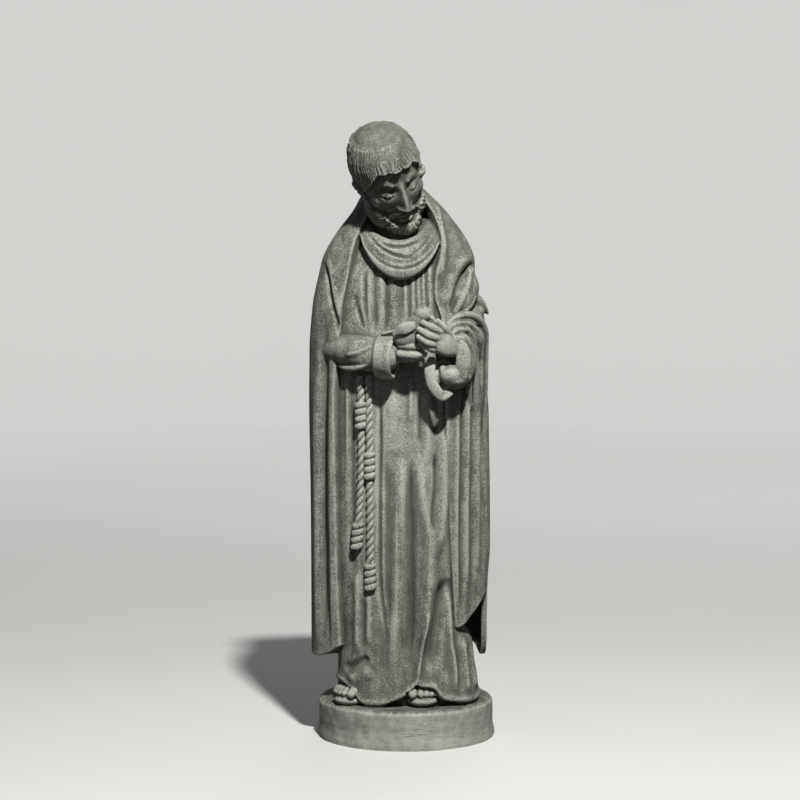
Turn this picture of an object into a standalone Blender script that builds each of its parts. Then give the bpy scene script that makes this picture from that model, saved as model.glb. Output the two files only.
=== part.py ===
"""A standing friar with a bird in his hands, cast in one piece with a round plinth.

Metres, +Z up, the figure faces -Y, and the origin is the middle of the plinth's underside.
The figure is shaped in millimetres of its own full height, from the plinth's top up, and is then scaled to
FIGURE_HEIGHT. In these comments left and right are the viewer's, looking at the front.
"""

import math

import bmesh
import bpy
import numpy as np
from mathutils import Euler, Matrix

# Driving sizes, in metres.
FIGURE_HEIGHT = 1.284
PLINTH_RADIUS = 0.194
PLINTH_HEIGHT = 0.086
PLINTH_RIM = 0.011
PLINTH_FLARE = 0.004

# The figure's own height in the millimetres that its shapes are written in.
MODELLED_HEIGHT = 1284.0

# Spacing of the surfaces before they are thinned out, in the figure's millimetres.
CLOTH_GRAIN = 3.4
FINE_GRAIN = 2.1
CLOTH_FACES = 4560
HEAD_FACES = 1300
HANDS_FACES = 1100
FOOT_FACES = 220
PLINTH_SIDES = 48

STONE_COLOUR = (0.185, 0.187, 0.165, 1.0)
STONE_ROUGHNESS = 0.9


# Curves and profiles


def along(table, at):
    """A smooth curve through a table's rows (position, value, ...), read at the given positions."""
    rows = np.array(table, float)
    x, y = rows[:, 0], rows[:, 1:]
    slope = np.diff(y, axis=0) / np.diff(x)[:, None]
    tangent = np.vstack([slope[:1], (slope[1:] + slope[:-1]) / 2, slope[-1:]])
    turning = np.zeros_like(tangent, bool)
    turning[1:-1] = slope[1:] * slope[:-1] <= 0
    tangent[turning] = 0
    at = np.clip(np.asarray(at, float), x[0], x[-1])
    i = np.clip(np.searchsorted(x, at, side="right") - 1, 0, len(x) - 2)
    step = (x[i + 1] - x[i])[..., None]
    s = (at - x[i])[..., None] / step
    start = (2 * s**3 - 3 * s**2 + 1) * y[i] + (s**3 - 2 * s**2 + s) * step * tangent[i]
    end = (3 * s**2 - 2 * s**3) * y[i + 1] + (s**3 - s**2) * step * tangent[i + 1]
    return start + end


def through(points, count):
    """Evenly spaced points on a smooth curve through the given ones."""
    points = np.array(points, float)
    if len(points) < 3:
        return points[:1] + np.linspace(0, 1, count)[:, None] * (points[-1:] - points[:1])
    reach = np.concatenate([[0], np.cumsum(np.linalg.norm(np.diff(points[:, :3], axis=0), axis=1))])
    return along(np.column_stack([reach, points]), np.linspace(0, reach[-1], count))


def ramp(value, low, high):
    """0 below low, 1 above high, and smooth in between."""
    s = np.clip((np.asarray(value, float) - low) / (high - low), 0, 1)
    return s * s * (3 - 2 * s)


def stroke(across, up, path, width, height, ends=0.2):
    """The height that one ridge, or groove if height is negative, adds along a path drawn on a surface."""
    line = through(path, 5 * len(path))
    total = np.linalg.norm(np.diff(line, axis=0), axis=1).sum()
    margin = 3 * width
    low, high = line.min(0) - margin, line.max(0) + margin
    added = np.zeros(across.shape)
    near = (across > low[0]) & (across < high[0]) & (up > low[1]) & (up < high[1])
    p = np.stack([across[near], up[near]], axis=-1)
    best = np.full(len(p), np.inf)
    share = np.zeros(len(p))
    gone = 0.0
    for a, b in zip(line[:-1], line[1:]):
        edge = b - a
        length = np.linalg.norm(edge)
        s = np.clip((p - a) @ edge / length**2, 0, 1)
        distance = np.linalg.norm(p - a - s[:, None] * edge, axis=1)
        closer = distance < best
        best[closer] = distance[closer]
        share[closer] = (gone + s[closer] * length) / total
        gone += length
    if ends > 0:
        fade = ramp(share, 0, ends) * ramp(1 - share, 0, ends)
    else:
        fade = 1.0
    added[near] = height * np.exp(-((best / width) ** 2)) * fade
    return added


def strokes(across, up, table):
    """All of a table's strokes (width, height, path) together."""
    return sum(stroke(across, up, path, width, height) for width, height, path in table)


def wavy(value, seed):
    """A gentle, irregular wave between about -1 and 1."""
    slow, quick = 0.3 * np.sin(2.3 * value + 1.7 * seed), 0.2 * np.sin(4.1 * value + 2.9 * seed)
    return 0.5 * np.sin(value + seed) + slow + quick


# Closed shapes, each as (points, faces)


def grid_faces(rows, columns, closed):
    wrap = columns if closed else columns - 1
    r, c = np.meshgrid(np.arange(rows - 1), np.arange(wrap), indexing="ij")
    right = (c + 1) % columns
    below, above = r * columns, (r + 1) * columns
    return np.stack([below + c, below + right, above + right, above + c], -1).reshape(-1, 4)


def loft(rings):
    """A closed skin over rings of points, with a fan over each end."""
    rows, columns = rings.shape[:2]
    faces = [tuple(f) for f in grid_faces(rows, columns, True)]
    low, high = rows * columns, rows * columns + 1
    last = (rows - 1) * columns
    for c in range(columns):
        right = (c + 1) % columns
        faces.append((low, right, c))
        faces.append((high, last + c, last + right))
    points = np.vstack([rings.reshape(-1, 3), rings[0].mean(0), rings[-1].mean(0)])
    return points, faces


def slab(outer, inner):
    """A closed sheet between an outer and an inner grid of points."""
    rows, columns = outer.shape[:2]
    count = rows * columns
    faces = [tuple(f) for f in grid_faces(rows, columns, False)]
    faces += [tuple(count + i for i in reversed(f)) for f in faces]
    rim = list(range(columns))
    rim += [r * columns + columns - 1 for r in range(1, rows)]
    rim += [(rows - 1) * columns + c for c in range(columns - 2, -1, -1)]
    rim += [r * columns for r in range(rows - 2, 0, -1)]
    for a, b in zip(rim, rim[1:] + rim[:1]):
        faces.append((b, a, count + a, count + b))
    return np.vstack([outer.reshape(-1, 3), inner.reshape(-1, 3)]), faces


def limb(path, radii, grain=3.0, squash=1.0, facing=(0, -1, 0)):
    """A round-ended tube along a path. squash thins it in the direction that it faces."""
    controls = np.column_stack([np.array(path, float), np.broadcast_to(radii, len(path))])
    length = np.linalg.norm(np.diff(controls[:, :3], axis=0), axis=1).sum()
    count = max(6, int(length / grain) + 1)
    line = through(controls, count)
    centre, radius = line[:, :3], line[:, 3]
    tangent = np.gradient(centre, axis=0)
    tangent /= np.linalg.norm(tangent, axis=1)[:, None]
    side = np.cross(tangent, np.array(facing, float))
    side /= np.linalg.norm(side, axis=1)[:, None]
    front = np.cross(side, tangent)
    bend = np.radians([85, 65, 45, 22])
    start = [(centre[0] - tangent[0] * radius[0] * math.sin(a), radius[0] * math.cos(a), 0) for a in bend]
    middle = [(centre[i], radius[i], i) for i in range(count)]
    end = [
        (centre[-1] + tangent[-1] * radius[-1] * math.sin(a), radius[-1] * math.cos(a), count - 1)
        for a in bend[::-1]
    ]
    sides = max(10, int(2 * math.pi * radius.max() / grain))
    turn = np.linspace(0, 2 * math.pi, sides, endpoint=False)[:, None]
    rings = [
        c + r * (np.cos(turn) * side[i] + np.sin(turn) * squash * front[i])
        for c, r, i in start + middle + end
    ]
    return loft(np.array(rings))


def blob(centre, radii, turn=(0, 0, 0), grain=3.0):
    """An ellipsoid, turned by degrees about X, Y and Z."""
    sides = max(14, int(2 * math.pi * max(radii) / grain))
    polar = np.linspace(0.04, math.pi - 0.04, sides // 2)[:, None]
    around = np.linspace(0, 2 * math.pi, sides, endpoint=False)
    rings = np.stack(
        [np.sin(polar) * np.cos(around), np.sin(polar) * np.sin(around), -np.cos(polar) + 0 * around], -1
    )
    rotation = np.array(Euler([math.radians(a) for a in turn]).to_matrix())
    return loft((rings * np.array(radii, float)) @ rotation.T + np.array(centre, float))


# Blender objects from shapes


def mesh_object(name, shape):
    points, faces = shape
    mesh = bpy.data.meshes.new(name)
    mesh.from_pydata([tuple(p) for p in points], [], [tuple(int(i) for i in f) for f in faces])
    made = bpy.data.objects.new(name, mesh)
    bpy.context.scene.collection.objects.link(made)
    return made


def applied(made):
    """The object with its modifiers applied."""
    graph = bpy.context.evaluated_depsgraph_get()
    mesh = bpy.data.meshes.new_from_object(made.evaluated_get(graph))
    made.modifiers.clear()
    made.data = mesh
    return made


def keep_largest(made):
    """Drops the loose scraps that a remesh leaves inside hollows."""
    bm = bmesh.new()
    bm.from_mesh(made.data)
    bm.verts.ensure_lookup_table()
    seen = np.zeros(len(bm.verts), bool)
    groups = []
    for first in bm.verts:
        if seen[first.index]:
            continue
        group, front = [], [first]
        seen[first.index] = True
        while front:
            vert = front.pop()
            group.append(vert)
            for edge in vert.link_edges:
                other = edge.other_vert(vert)
                if not seen[other.index]:
                    seen[other.index] = True
                    front.append(other)
        groups.append(group)
    groups.sort(key=len)
    for group in groups[:-1]:
        bmesh.ops.delete(bm, geom=group, context="VERTS")
    bm.to_mesh(made.data)
    bm.free()
    return made


def fused(name, shapes, grain, smoothing=2):
    """One skin over overlapping shapes."""
    points, faces, start = [], [], 0
    for shape_points, shape_faces in shapes:
        points.append(shape_points)
        faces += [tuple(start + i for i in f) for f in shape_faces]
        start += len(shape_points)
    made = mesh_object(name, (np.vstack(points), faces))
    remesh = made.modifiers.new("one skin", "REMESH")
    remesh.mode = "VOXEL"
    remesh.voxel_size = grain
    smooth = made.modifiers.new("worn smooth", "SMOOTH")
    smooth.factor = 0.5
    smooth.iterations = smoothing
    return keep_largest(applied(made))


def points_of(made):
    points = np.empty(len(made.data.vertices) * 3)
    made.data.vertices.foreach_get("co", points)
    return points.reshape(-1, 3)


def normals_of(made):
    normals = np.empty(len(made.data.vertices) * 3)
    made.data.vertex_normals.foreach_get("vector", normals)
    return normals.reshape(-1, 3)


def push(made, amount):
    """Moves each point along its normal."""
    moved = points_of(made) + normals_of(made) * amount[:, None]
    made.data.vertices.foreach_set("co", moved.ravel())
    made.data.update()
    return made


def thinned(made, faces):
    """The same form on a given number of triangles."""
    triangles = sum(len(p.vertices) - 2 for p in made.data.polygons)
    decimate = made.modifiers.new("fewer faces", "DECIMATE")
    decimate.ratio = faces / triangles
    return applied(made)


# The tunic

# Height, half width, front depth, back depth, middle.
TUNIC = (
    (-10, 158, 146, 124, 5),
    (40, 156, 146, 122, 4),
    (95, 151, 137, 118, 0),
    (130, 149, 131, 116, -2),
    (172, 140, 127, 112, -12),
    (240, 140, 123, 110, -16),
    (330, 150, 120, 108, -15),
    (560, 150, 115, 104, -16),
    (700, 150, 114, 104, -17),
    (820, 146, 110, 104, -19),
    (930, 132, 101, 102, -19),
    (975, 112, 84, 98, -18),
    (1015, 84, 66, 84, -18),
    (1050, 62, 50, 70, -20),
    (1075, 50, 44, 60, -22),
)
TUNIC_SQUARENESS = 3.1

# Width, height and path (across, up) of the folds on the front of the skirt.
SKIRT_FOLDS = (
    (3.5, -10.4, ((-54, 697), (-55, 583), (-56, 450), (-56, 319), (-53, 240), (-46, 187), (-39, 130))),
    (13, -10.4, ((-43, 556), (-41, 468), (-41, 363), (-41, 253), (-33, 165))),
    (22, 6.5, ((-26, 690), (-26, 610), (-20, 540))),
    (16, 14.3, ((-15, 569), (-10, 468), (-17, 363), (-22, 240), (-26, 143), (-27, 50))),
    (9, -19.5, ((11, 552), (11, 500), (11, 440), (13, 363), (13, 240), (8, 143), (13, 77))),
    (15, 16.9, ((30, 569), (36, 451), (50, 372), (51, 292), (43, 209), (36, 143), (27, 80))),
    (5.5, 11.7, ((48, 215), (36, 143), (27, 70), (25, 50))),
    (6, -11.7, ((61, 560), (65, 520), (66, 486), (60, 433), (56, 376))),
    (11, 10.4, ((82, 620), (83, 540), (83, 477), (76, 380), (69, 319))),
    (13, -19.5, ((89, 284), (76, 222), (63, 147), (50, 81))),
    (6.5, 11.7, ((89, 275), (92, 196), (96, 143), (104, 90), (109, 20))),
    (7, -6.6, ((113, 165), (117, 99), (122, 30))),
    (5, 6.6, ((126, 150), (132, 77), (139, 20))),
    (4, -5.5, ((136, 130), (141, 77), (148, 25))),
    (5, 5.5, ((143, 130), (148, 77), (156, 25))),
    (4, 5.2, ((-127, 720), (-127, 627), (-128, 530))),
    (7, -6.5, ((-118, 700), (-118, 540), (-117, 380), (-114, 260))),
    (9, 9.1, ((-104, 300), (-104, 230), (-104, 165), (-106, 108))),
    (8, 6.5, ((-81, 260), (-80, 200), (-82, 130))),
    (6, -5.2, ((-92, 240), (-93, 180), (-94, 120))),
    (9, -8.8, ((-134, 74), (-122, 82), (-100, 97), (-77, 106))),
    (14, 6.6, ((-128, 56), (-100, 66), (-72, 84))),
    (4, 5.2, ((11, 712), (11, 680), (10, 620))),
    (5, -6.5, ((28, 690), (29, 640), (30, 570))),
    (9, 6.5, ((47, 690), (48, 600), (46, 520))),
    (10, -6.5, ((64, 700), (66, 640), (64, 590))),
)
# The same for the pleats on the chest, which fan out from under the cowl.
CHEST_FOLDS = (
    (4, -4.0, ((-112, 905), (-105, 870), (-93, 827))),
    (3.5, -3.2, ((-104, 870), (-99, 850), (-91, 824))),
    (4, 2.5, ((-97, 949), (-97, 905), (-95, 858))),
    (3.5, -3.2, ((-88, 954), (-87, 890), (-84, 836))),
    (4.5, 2.5, ((-80, 952), (-81, 900), (-79, 836))),
    (5, -4.0, ((-68, 964), (-67, 890), (-65, 816))),
    (6.5, 3.1, ((-54, 964), (-53, 910), (-53, 880), (-54, 826))),
    (3.5, -5.6, ((-41, 962), (-41, 900), (-41, 860), (-43, 816))),
    (8, 3.1, ((-24, 959), (-22, 900), (-22, 870), (-25, 821))),
    (4, 1.9, ((-31, 944), (-30, 905), (-31, 871))),
    (4, -4.0, ((-9, 959), (-10, 890), (-11, 826))),
    (5, 3.1, ((-2, 920), (-1, 890), (0, 850))),
    (3.5, -4.0, ((8, 959), (8, 900), (9, 836))),
    (4.5, 1.9, ((15, 959), (15, 905), (16, 856))),
    (3, -2.0, ((21, 945), (22, 900), (24, 860))),
    (4, 1.6, ((27, 964), (27, 915), (28, 866))),
    (3, -2.0, ((32, 950), (33, 910), (35, 870))),
    (4, 1.6, ((38, 969), (38, 915), (40, 856))),
    (3.5, -3.2, ((44, 974), (45, 910), (48, 846))),
    (5, 2.2, ((51, 979), (51, 915), (54, 846))),
    (4, -4.0, ((61, 984), (62, 900), (66, 826))),
)

# The two arches of the hem, over the feet: middle, half width and height.
HEM_ARCHES = ((-128, 30, 46), (34, 36, 52))
HEM_RECESS = 26.0


def outline(table, z, t, squareness):
    """Points of an upright form and their outward directions, by height and by turn from the front."""
    half, front, back, middle = (column[..., 0] for column in np.split(along(table, z), 4, axis=-1))
    depth = np.where(np.cos(t) > 0, front, back)
    power = 2 / squareness
    sine, cosine = np.sin(t), np.cos(t)
    x = middle + half * np.sign(sine) * np.abs(sine) ** power
    y = -depth * np.sign(cosine) * np.abs(cosine) ** power
    across, deep = sine / half * 150, -cosine / depth * 150
    size = np.hypot(across, deep)
    return np.stack([x, y, z + 0 * x], -1), np.stack([across / size, deep / size, 0 * x], -1)


def front_of_tunic(x, z):
    """How far forward the plain tunic reaches at a place on its front."""
    half, front, _, middle = along(TUNIC, z)
    return -front * (1 - abs((x - middle) / half) ** TUNIC_SQUARENESS) ** (1 / TUNIC_SQUARENESS)


def tunic(grain):
    low, high = TUNIC[0][0], TUNIC[-1][0]
    z = np.linspace(low, high, int((high - low) / grain))[:, None]
    t = np.linspace(-math.pi, math.pi, int(880 / grain), endpoint=False)[None, :]
    z, t = z + 0 * t, t + 0 * z
    points, outward = outline(TUNIC, z, t, TUNIC_SQUARENESS)
    x = points[..., 0]
    ahead = ramp(np.cos(t), 0.05, 0.35)
    lift = ahead * strokes(x, z, SKIRT_FOLDS + CHEST_FOLDS)
    # The hem is drawn in below the arches, and stands out a little along its edge.
    arch = np.full(x.shape, 4.0)
    for middle, half, height in HEM_ARCHES:
        share = np.clip(1 - np.abs((x - middle) / half), 0, 1)
        arch = np.maximum(arch, height * share**0.6)
    edge = np.where(np.cos(t) > 0.1, arch, 4.0)
    lift += 4 * np.exp(-(((z - edge - 7) / 8) ** 2))
    lift -= HEM_RECESS * np.where(edge > 5, 1.0, 0.2) * (1 - ramp(z, edge - 3, edge + 1))
    # Broad folds round the sides and the back of the skirt.
    behind = ramp(-np.cos(t), -0.1, 0.4) * (1 - ramp(z, 100, 420))
    lift += behind * 6 * wavy(t * 9, 0.6)
    return loft(points + outward * lift[..., None])


# The mantle

MANTLE = (
    (95, 197, 122, 146, -14),
    (440, 197, 122, 150, -15),
    (663, 197, 124, 150, -18),
    (774, 197, 124, 148, -17),
    (850, 191, 120, 146, -18),
    (892, 180, 114, 144, -24),
    (950, 172, 108, 140, -19),
    (984, 166, 102, 136, -16),
    (1030, 142, 88, 122, -14),
    (1075, 108, 70, 100, -14),
    (1117, 76, 52, 78, -22),
    (1132, 64, 44, 66, -26),
)
MANTLE_SQUARENESS = 2.3
# Height, turn of the left front edge and turn of the right one, in degrees from the front.
MANTLE_EDGES = (
    (95, -38, 40), (172, -39, 36), (440, -41, 31), (660, -41, 29), (812, -39, 27), (932, -35, 26),
    (1030, -37, 35),
    (1075, -38, 40), (1132, -40, 44),
)
# Turn from the front, to the left and on round the back, and the height of the mantle's hem there.
MANTLE_HEM = (
    (-334, 172), (-322, 168), (-305, 200), (-284, 238), (-272, 246), (-266, 128), (-240, 112),
    (-180, 98), (-95, 99),
    (-70, 98), (-52, 108), (-36, 128), (-30, 128),
)
MANTLE_HANGING = 13.0
MANTLE_BACKED = 60.0
# A millimetre of the folds' own measure round the mantle is this share of a full turn.
TURN_MM = 170.0

# Folds seen from the front: width, height and path (across, up).
MANTLE_FRONT_FOLDS = (
    (9, -12, ((-178, 880), (-180, 700), (-182, 500), (-181, 300), (-179, 100))),
    (7, 5, ((-197, 760), (-199, 600), (-198, 400), (-197, 200), (-197, 90))),
    (12, 8, ((-152, 800), (-160, 600), (-160, 400), (-158, 200), (-156, 90))),
    (4, -4, ((-170, 420), (-169, 250), (-168, 110))),
    (5, 4, ((-146, 790), (-146, 600), (-146, 400), (-142, 240), (-140, 130))),
    (4, -8, ((-181, 975), (-172, 950), (-162, 890), (-150, 845), (-146, 800))),
    (10, 6, ((-170, 990), (-158, 930), (-148, 870), (-144, 830))),
    (5, -12, ((152, 972), (128, 946), (112, 916), (103, 884), (100, 855))),
    (13, 10, ((146, 992), (116, 966), (96, 926), (86, 870))),
    (8, 6, ((179, 720), (181, 560), (181, 400), (181, 250))),
    (4, -9, ((168, 760), (168, 560), (168, 400), (169, 250))),
    (7, 7, ((157, 770), (157, 560), (156, 400), (155, 235))),
    (4, -9, ((146, 760), (145, 560), (143, 400), (143, 225))),
    (7, 7, ((135, 740), (134, 560), (132, 400), (132, 210))),
    (4, -9, ((124, 700), (122, 560), (120, 400), (121, 195))),
    (6, 6, ((112, 680), (112, 540), (110, 400), (112, 185))),
    (5, 4, ((60, 1110), (76, 1050), (88, 985))),
    (9, 6, ((58, 1108), (72, 1050), (80, 990), (76, 930))),
)
# Folds round the side and back: width, height and path (millimetres round from the front, up).
MANTLE_BACK_FOLDS = (
    (13, -10, ((-300, 930), (-312, 700), (-305, 400), (-310, 95))),
    (17, 8, ((-340, 960), (-345, 700), (-338, 400), (-342, 95))),
    (12, -9, ((-382, 900), (-376, 700), (-372, 400), (-376, 95))),
    (18, 9, ((-415, 930), (-410, 700), (-412, 400), (-408, 95))),
    (13, -11, ((-452, 990), (-448, 700), (-452, 400), (-455, 95))),
    (20, 9, ((-492, 900), (-494, 600), (-500, 300), (-498, 95))),
    (14, -10, ((-540, 880), (-536, 600), (-545, 300), (-541, 95))),
    (20, 9, ((-582, 900), (-586, 600), (-588, 300), (-590, 95))),
    (12, -11, ((-628, 990), (-630, 700), (-626, 400), (-632, 95))),
    (18, 9, ((-668, 930), (-672, 700), (-674, 400), (-670, 95))),
    (12, -9, ((-712, 900), (-708, 700), (-715, 400), (-712, 95))),
    (16, 8, ((-748, 900), (-752, 700), (-756, 400), (-752, 95))),
    (10, -8, ((-785, 800), (-790, 600), (-790, 400), (-788, 110))),
)


def mantle(grain):
    rows = int(1000 / grain)
    columns = int(920 / grain)
    share = np.linspace(0, 1, columns)[None, :] + np.zeros((rows, 1))
    rise = np.linspace(0, 1, rows)[:, None] + np.zeros((1, columns))
    # The turn depends on the height, and the hem's height on the turn, so the two are settled together.
    degrees = -38 - share * 278
    for _ in range(4):
        hem = along(MANTLE_HEM, degrees)[..., 0]
        z = hem + (MANTLE[-1][0] - hem) * rise
        left, right = (e[..., 0] for e in np.split(along(MANTLE_EDGES, z), 2, axis=-1))
        degrees = left - share * (360 - (right - left))
    t = np.radians(degrees)
    points, outward = outline(MANTLE, z, t, MANTLE_SQUARENESS)
    ahead = ramp(np.cos(t), -0.12, 0.1)
    lift = ahead * strokes(points[..., 0], z, MANTLE_FRONT_FOLDS)
    lift += (1 - ahead) * strokes(t * TURN_MM, z, MANTLE_BACK_FOLDS)
    hanging = ramp(-degrees, 218, 250) * (1 - ramp(z, 290, 400))
    thick = MANTLE_BACKED + (MANTLE_HANGING - MANTLE_BACKED) * hanging
    thick = thick * (1 - 0.6 * ramp(z, 990, 1110))
    outer = points + outward * lift[..., None]
    inner = points + outward * np.minimum(lift * 0.6, 4)[..., None] - outward * thick[..., None]
    return slab(outer, inner)


# The cowl round the neck, and the hood that hangs from it behind


# Creases across the front of the cowl: turn, place across its width, slant, reach and depth.
COWL_CREASES = ((0.08, 0.22, -0.02, 0.6, 8), (-0.35, 0.40, 0.20, 0.6, 8), (0.62, 0.44, -0.22, 0.45, 3))


def cowl(grain):
    """A soft collar: a closed band whose section is read at each turn round the neck."""
    sides = int(560 / grain)
    steps = int(250 / grain)
    t = np.linspace(-math.pi, math.pi, sides, endpoint=False)[:, None]
    s = np.linspace(0, 2 * math.pi, steps, endpoint=False)[None, :]
    t, s = t + 0 * s, s + 0 * t
    ahead = 0.5 + 0.5 * np.cos(t)
    width = (np.cos(s) + 1) / 2
    # The inner rim sits at the neck, and the outer one hangs low on the breast.
    inner = np.stack([-18 + 56 * np.sin(t), 60 - 150 * ahead**0.8, 1088 - 64 * ahead**1.2])
    outer = np.stack([-11 + 86 * np.sin(t), 96 - 212 * ahead**0.5, 1086 - 153 * ahead**1.65])
    base = inner + (outer - inner) * width
    # The cloth lies in a roll at the neck and a broad fall below it, and its outer edge is turned under.
    top = np.clip(np.sin(s), 0, 1)
    bulge = 15 * np.sign(np.sin(s)) * np.abs(np.sin(s)) ** 0.6
    bulge -= 6 * top * ahead * np.exp(-(((width - 0.78 - 0.03 * np.sin(2 * t)) / 0.035) ** 2))
    bulge -= 3 * top * ahead * np.exp(-(((width - 0.62) / 0.09) ** 2))
    for turn, at, slant, reach, depth in COWL_CREASES:
        line = np.exp(-(((width - at - slant * (t - turn)) / 0.04) ** 2))
        bulge -= depth * top * line * np.exp(-(((t - turn) / reach) ** 4))
    lean = 0.45 + 0.4 * ahead
    x = base[0] + bulge * lean * np.sin(t)
    y = base[1] - bulge * lean * np.cos(t)
    z = base[2] + bulge * np.sqrt(1 - lean**2)
    rings = np.stack([x, y, z], -1)
    rows, columns = rings.shape[:2]
    faces = [tuple(f) for f in grid_faces(rows, columns, True)]
    last = (rows - 1) * columns
    faces += [(last + c, last + (c + 1) % columns, (c + 1) % columns, c) for c in range(columns)]
    return rings.reshape(-1, 3), [tuple(reversed(f)) for f in faces]


def hood():
    """The hood, thrown back: a soft pouch that hangs from a rolled rim behind the neck."""
    return [
        blob((-14, 92, 1012), (96, 54, 92), (18, 0, 0)),
        blob((-14, 122, 950), (68, 38, 74), (12, 0, 0)),
        blob((-14, 138, 902), (40, 24, 46), (8, 0, 0)),
        blob((-14, 72, 1082), (76, 48, 34), (8, 0, 0)),
        limb(((-92, 36, 1066), (-74, 78, 1088), (-14, 112, 1100), (46, 78, 1088), (66, 36, 1066)),
             (16, 19, 20, 19, 16)),
        limb(((-96, 92, 1030), (-66, 140, 985), (-14, 160, 958), (38, 140, 985), (68, 92, 1030)),
             (10, 13, 14, 13, 10)),
        limb(((-78, 126, 975), (-46, 154, 930), (-14, 164, 912), (18, 154, 930), (50, 126, 975)),
             (7, 9, 10, 9, 7)),
    ]


# The head, in its own frame: the face towards -Y, the chin down, millimetres from between the ears

HEAD_PLACE = (-41, -84, 1165)
HEAD_NOD = 36.0
HEAD_TILT = -20.0
HEAD_TURN = 15.0


def head_frame():
    nod = Matrix.Rotation(math.radians(HEAD_NOD), 4, "X")
    tilt = Matrix.Rotation(math.radians(HEAD_TILT), 4, "Y")
    turn = Matrix.Rotation(math.radians(HEAD_TURN), 4, "Z")
    return np.array(Matrix.Translation(HEAD_PLACE) @ turn @ tilt @ nod)


def mirrored(build):
    """A pair of shapes, built for one side and for the other."""
    return [build(1), build(-1)]


def skull_masses():
    """The head without its features: brain case, face and jaw."""
    masses = [
        blob((0, 12, 26), (68, 88, 84)),
        blob((0, -18, -16), (62, 68, 78)),
        blob((0, -28, -68), (48, 52, 44)),
        blob((0, -50, -84), (34, 36, 28)),
        blob((0, 30, -34), (56, 56, 60)),
    ]
    masses += mirrored(lambda s: blob((s * 40, -44, -24), (21, 20, 24)))
    masses += mirrored(lambda s: blob((s * 38, -22, -66), (20, 40, 34)))
    return masses


# Width, height and path (across, up) of the lines of the face. The eyes are half way down the head, and the
# nose and the mouth are a third of the way further down each, as in any drawing book.
FACE_LINES = (
    (7, 5, ((10, 17), (30, 25), (54, 13))),
    (1.8, -2.5, ((15, 3), (30, 9), (47, 3))),
    (2.0, -3.5, ((16, -5), (31, -9), (46, -4))),
    (3.4, 3, ((0, -62), (8, -60.5), (20, -63))),
    (4.2, 5, ((0, -71), (8, -70.5), (17, -68))),
    (1.8, -4.5, ((0, -66), (9, -65), (24, -66))),
    (5, -2, ((15, -40), (23, -48), (28, -56))),
)
# Place, half width, half height and height of its soft swellings and hollows.
FACE_MOUNDS = (
    (17, 5, 9, 11, -8),
    (33, 1, 16, 11, -8),
    (31, -1, 14, 8, 8),
    (12, -37, 6.5, 6, 8),
    (44, -20, 15, 12, 2),
    (0, -62, 24, 16, 6),
    (0, -81, 14, 5, -4),
    (0, -97, 19, 14, 5),
)
NOSE_TOP = 16.0
NOSE_TIP = -38.0


def face_relief(points):
    """How far the face's features stand out towards -Y."""
    x, _, z = points.T
    side = np.abs(x)
    lift = strokes(side, z, FACE_LINES)
    for middle, height, half_width, half_height, amount in FACE_MOUNDS:
        lift += amount * np.exp(-(((side - middle) / half_width) ** 2) - ((z - height) / half_height) ** 2)
    down = np.clip((NOSE_TOP - z) / (NOSE_TOP - NOSE_TIP), 0, 1)
    nose = (5 + 17 * down**1.15) * np.exp(-((side / (6.5 + 3.5 * down)) ** 2.4))
    lift += nose * ramp(z, NOSE_TIP - 7, NOSE_TIP + 1) * (1 - ramp(z, NOSE_TOP - 2, NOSE_TOP + 16))
    return lift


def ear():
    """The one ear that the hair leaves bare."""
    path = ((62, -8, -38), (69, -15, -20), (73, -11, 0), (74, 3, 6), (72, 11, -7), (65, 3, -28))
    return [limb(path, 4.4, facing=(1, 0, 0)), blob((63, -3, -16), (6, 12, 21))]


# Turn from the front, in degrees, and height of the beard's upper edge.
BEARD_EDGE = (
    (0, -80), (10, -79), (20, -72), (27, -60), (38, -52), (50, -44), (63, -28), (76, -6), (90, 4),
    (110, 2), (180, 0),
)
# Width, height and path of the moustache.
MOUSTACHE = ((6.0, 7.0, ((3, -51), (12, -50.5), (22, -54), (31, -61), (37, -71))),)


def hair_masks(points):
    """How far each point of the head belongs to the hair and to the beard, and where it lies on them."""
    x, y, z = points.T
    angle = np.arctan2(np.abs(x), -y)
    away = np.degrees(np.arctan2(np.hypot(x / 69, (y - 12) / 89), (z - 26) / 84))
    round_crown = np.arctan2(x, -(y - 18))
    flow = round_crown + 0.30 * np.sin(2 * round_crown + 0.4) * ramp(away, 45, 95)
    flow += 0.06 * np.sin(0.13 * away + 2 * round_crown) + 0.025 * np.sin(0.31 * away + 9 * round_crown)
    clumps = np.abs(np.sin(6.5 * flow + 1.1 * np.sin(2.3 * flow) + 0.02 * away)) ** 0.8
    hairline = 50 - np.where(x > 0, 34, 64) * ramp(angle, 0.45, 1.3)
    hairline -= np.where(x > 0, 66, 56) * ramp(angle, 1.5, 2.4)
    hairline -= 4 * (clumps - 0.5)
    hair = ramp(z, hairline - 1.5, hairline + 3.5) * ramp(away + 5 * np.sin(round_crown + 0.6), 38, 50)
    # The beard's upper edge, by the turn from the front: below the lip, up to the cheek and to the ear.
    edge = along(BEARD_EDGE, np.degrees(angle))[..., 0]
    beard = ramp(edge - z, -1, 6) * ramp(-y, -34, 0)
    return hair, beard, away, flow, clumps


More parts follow.
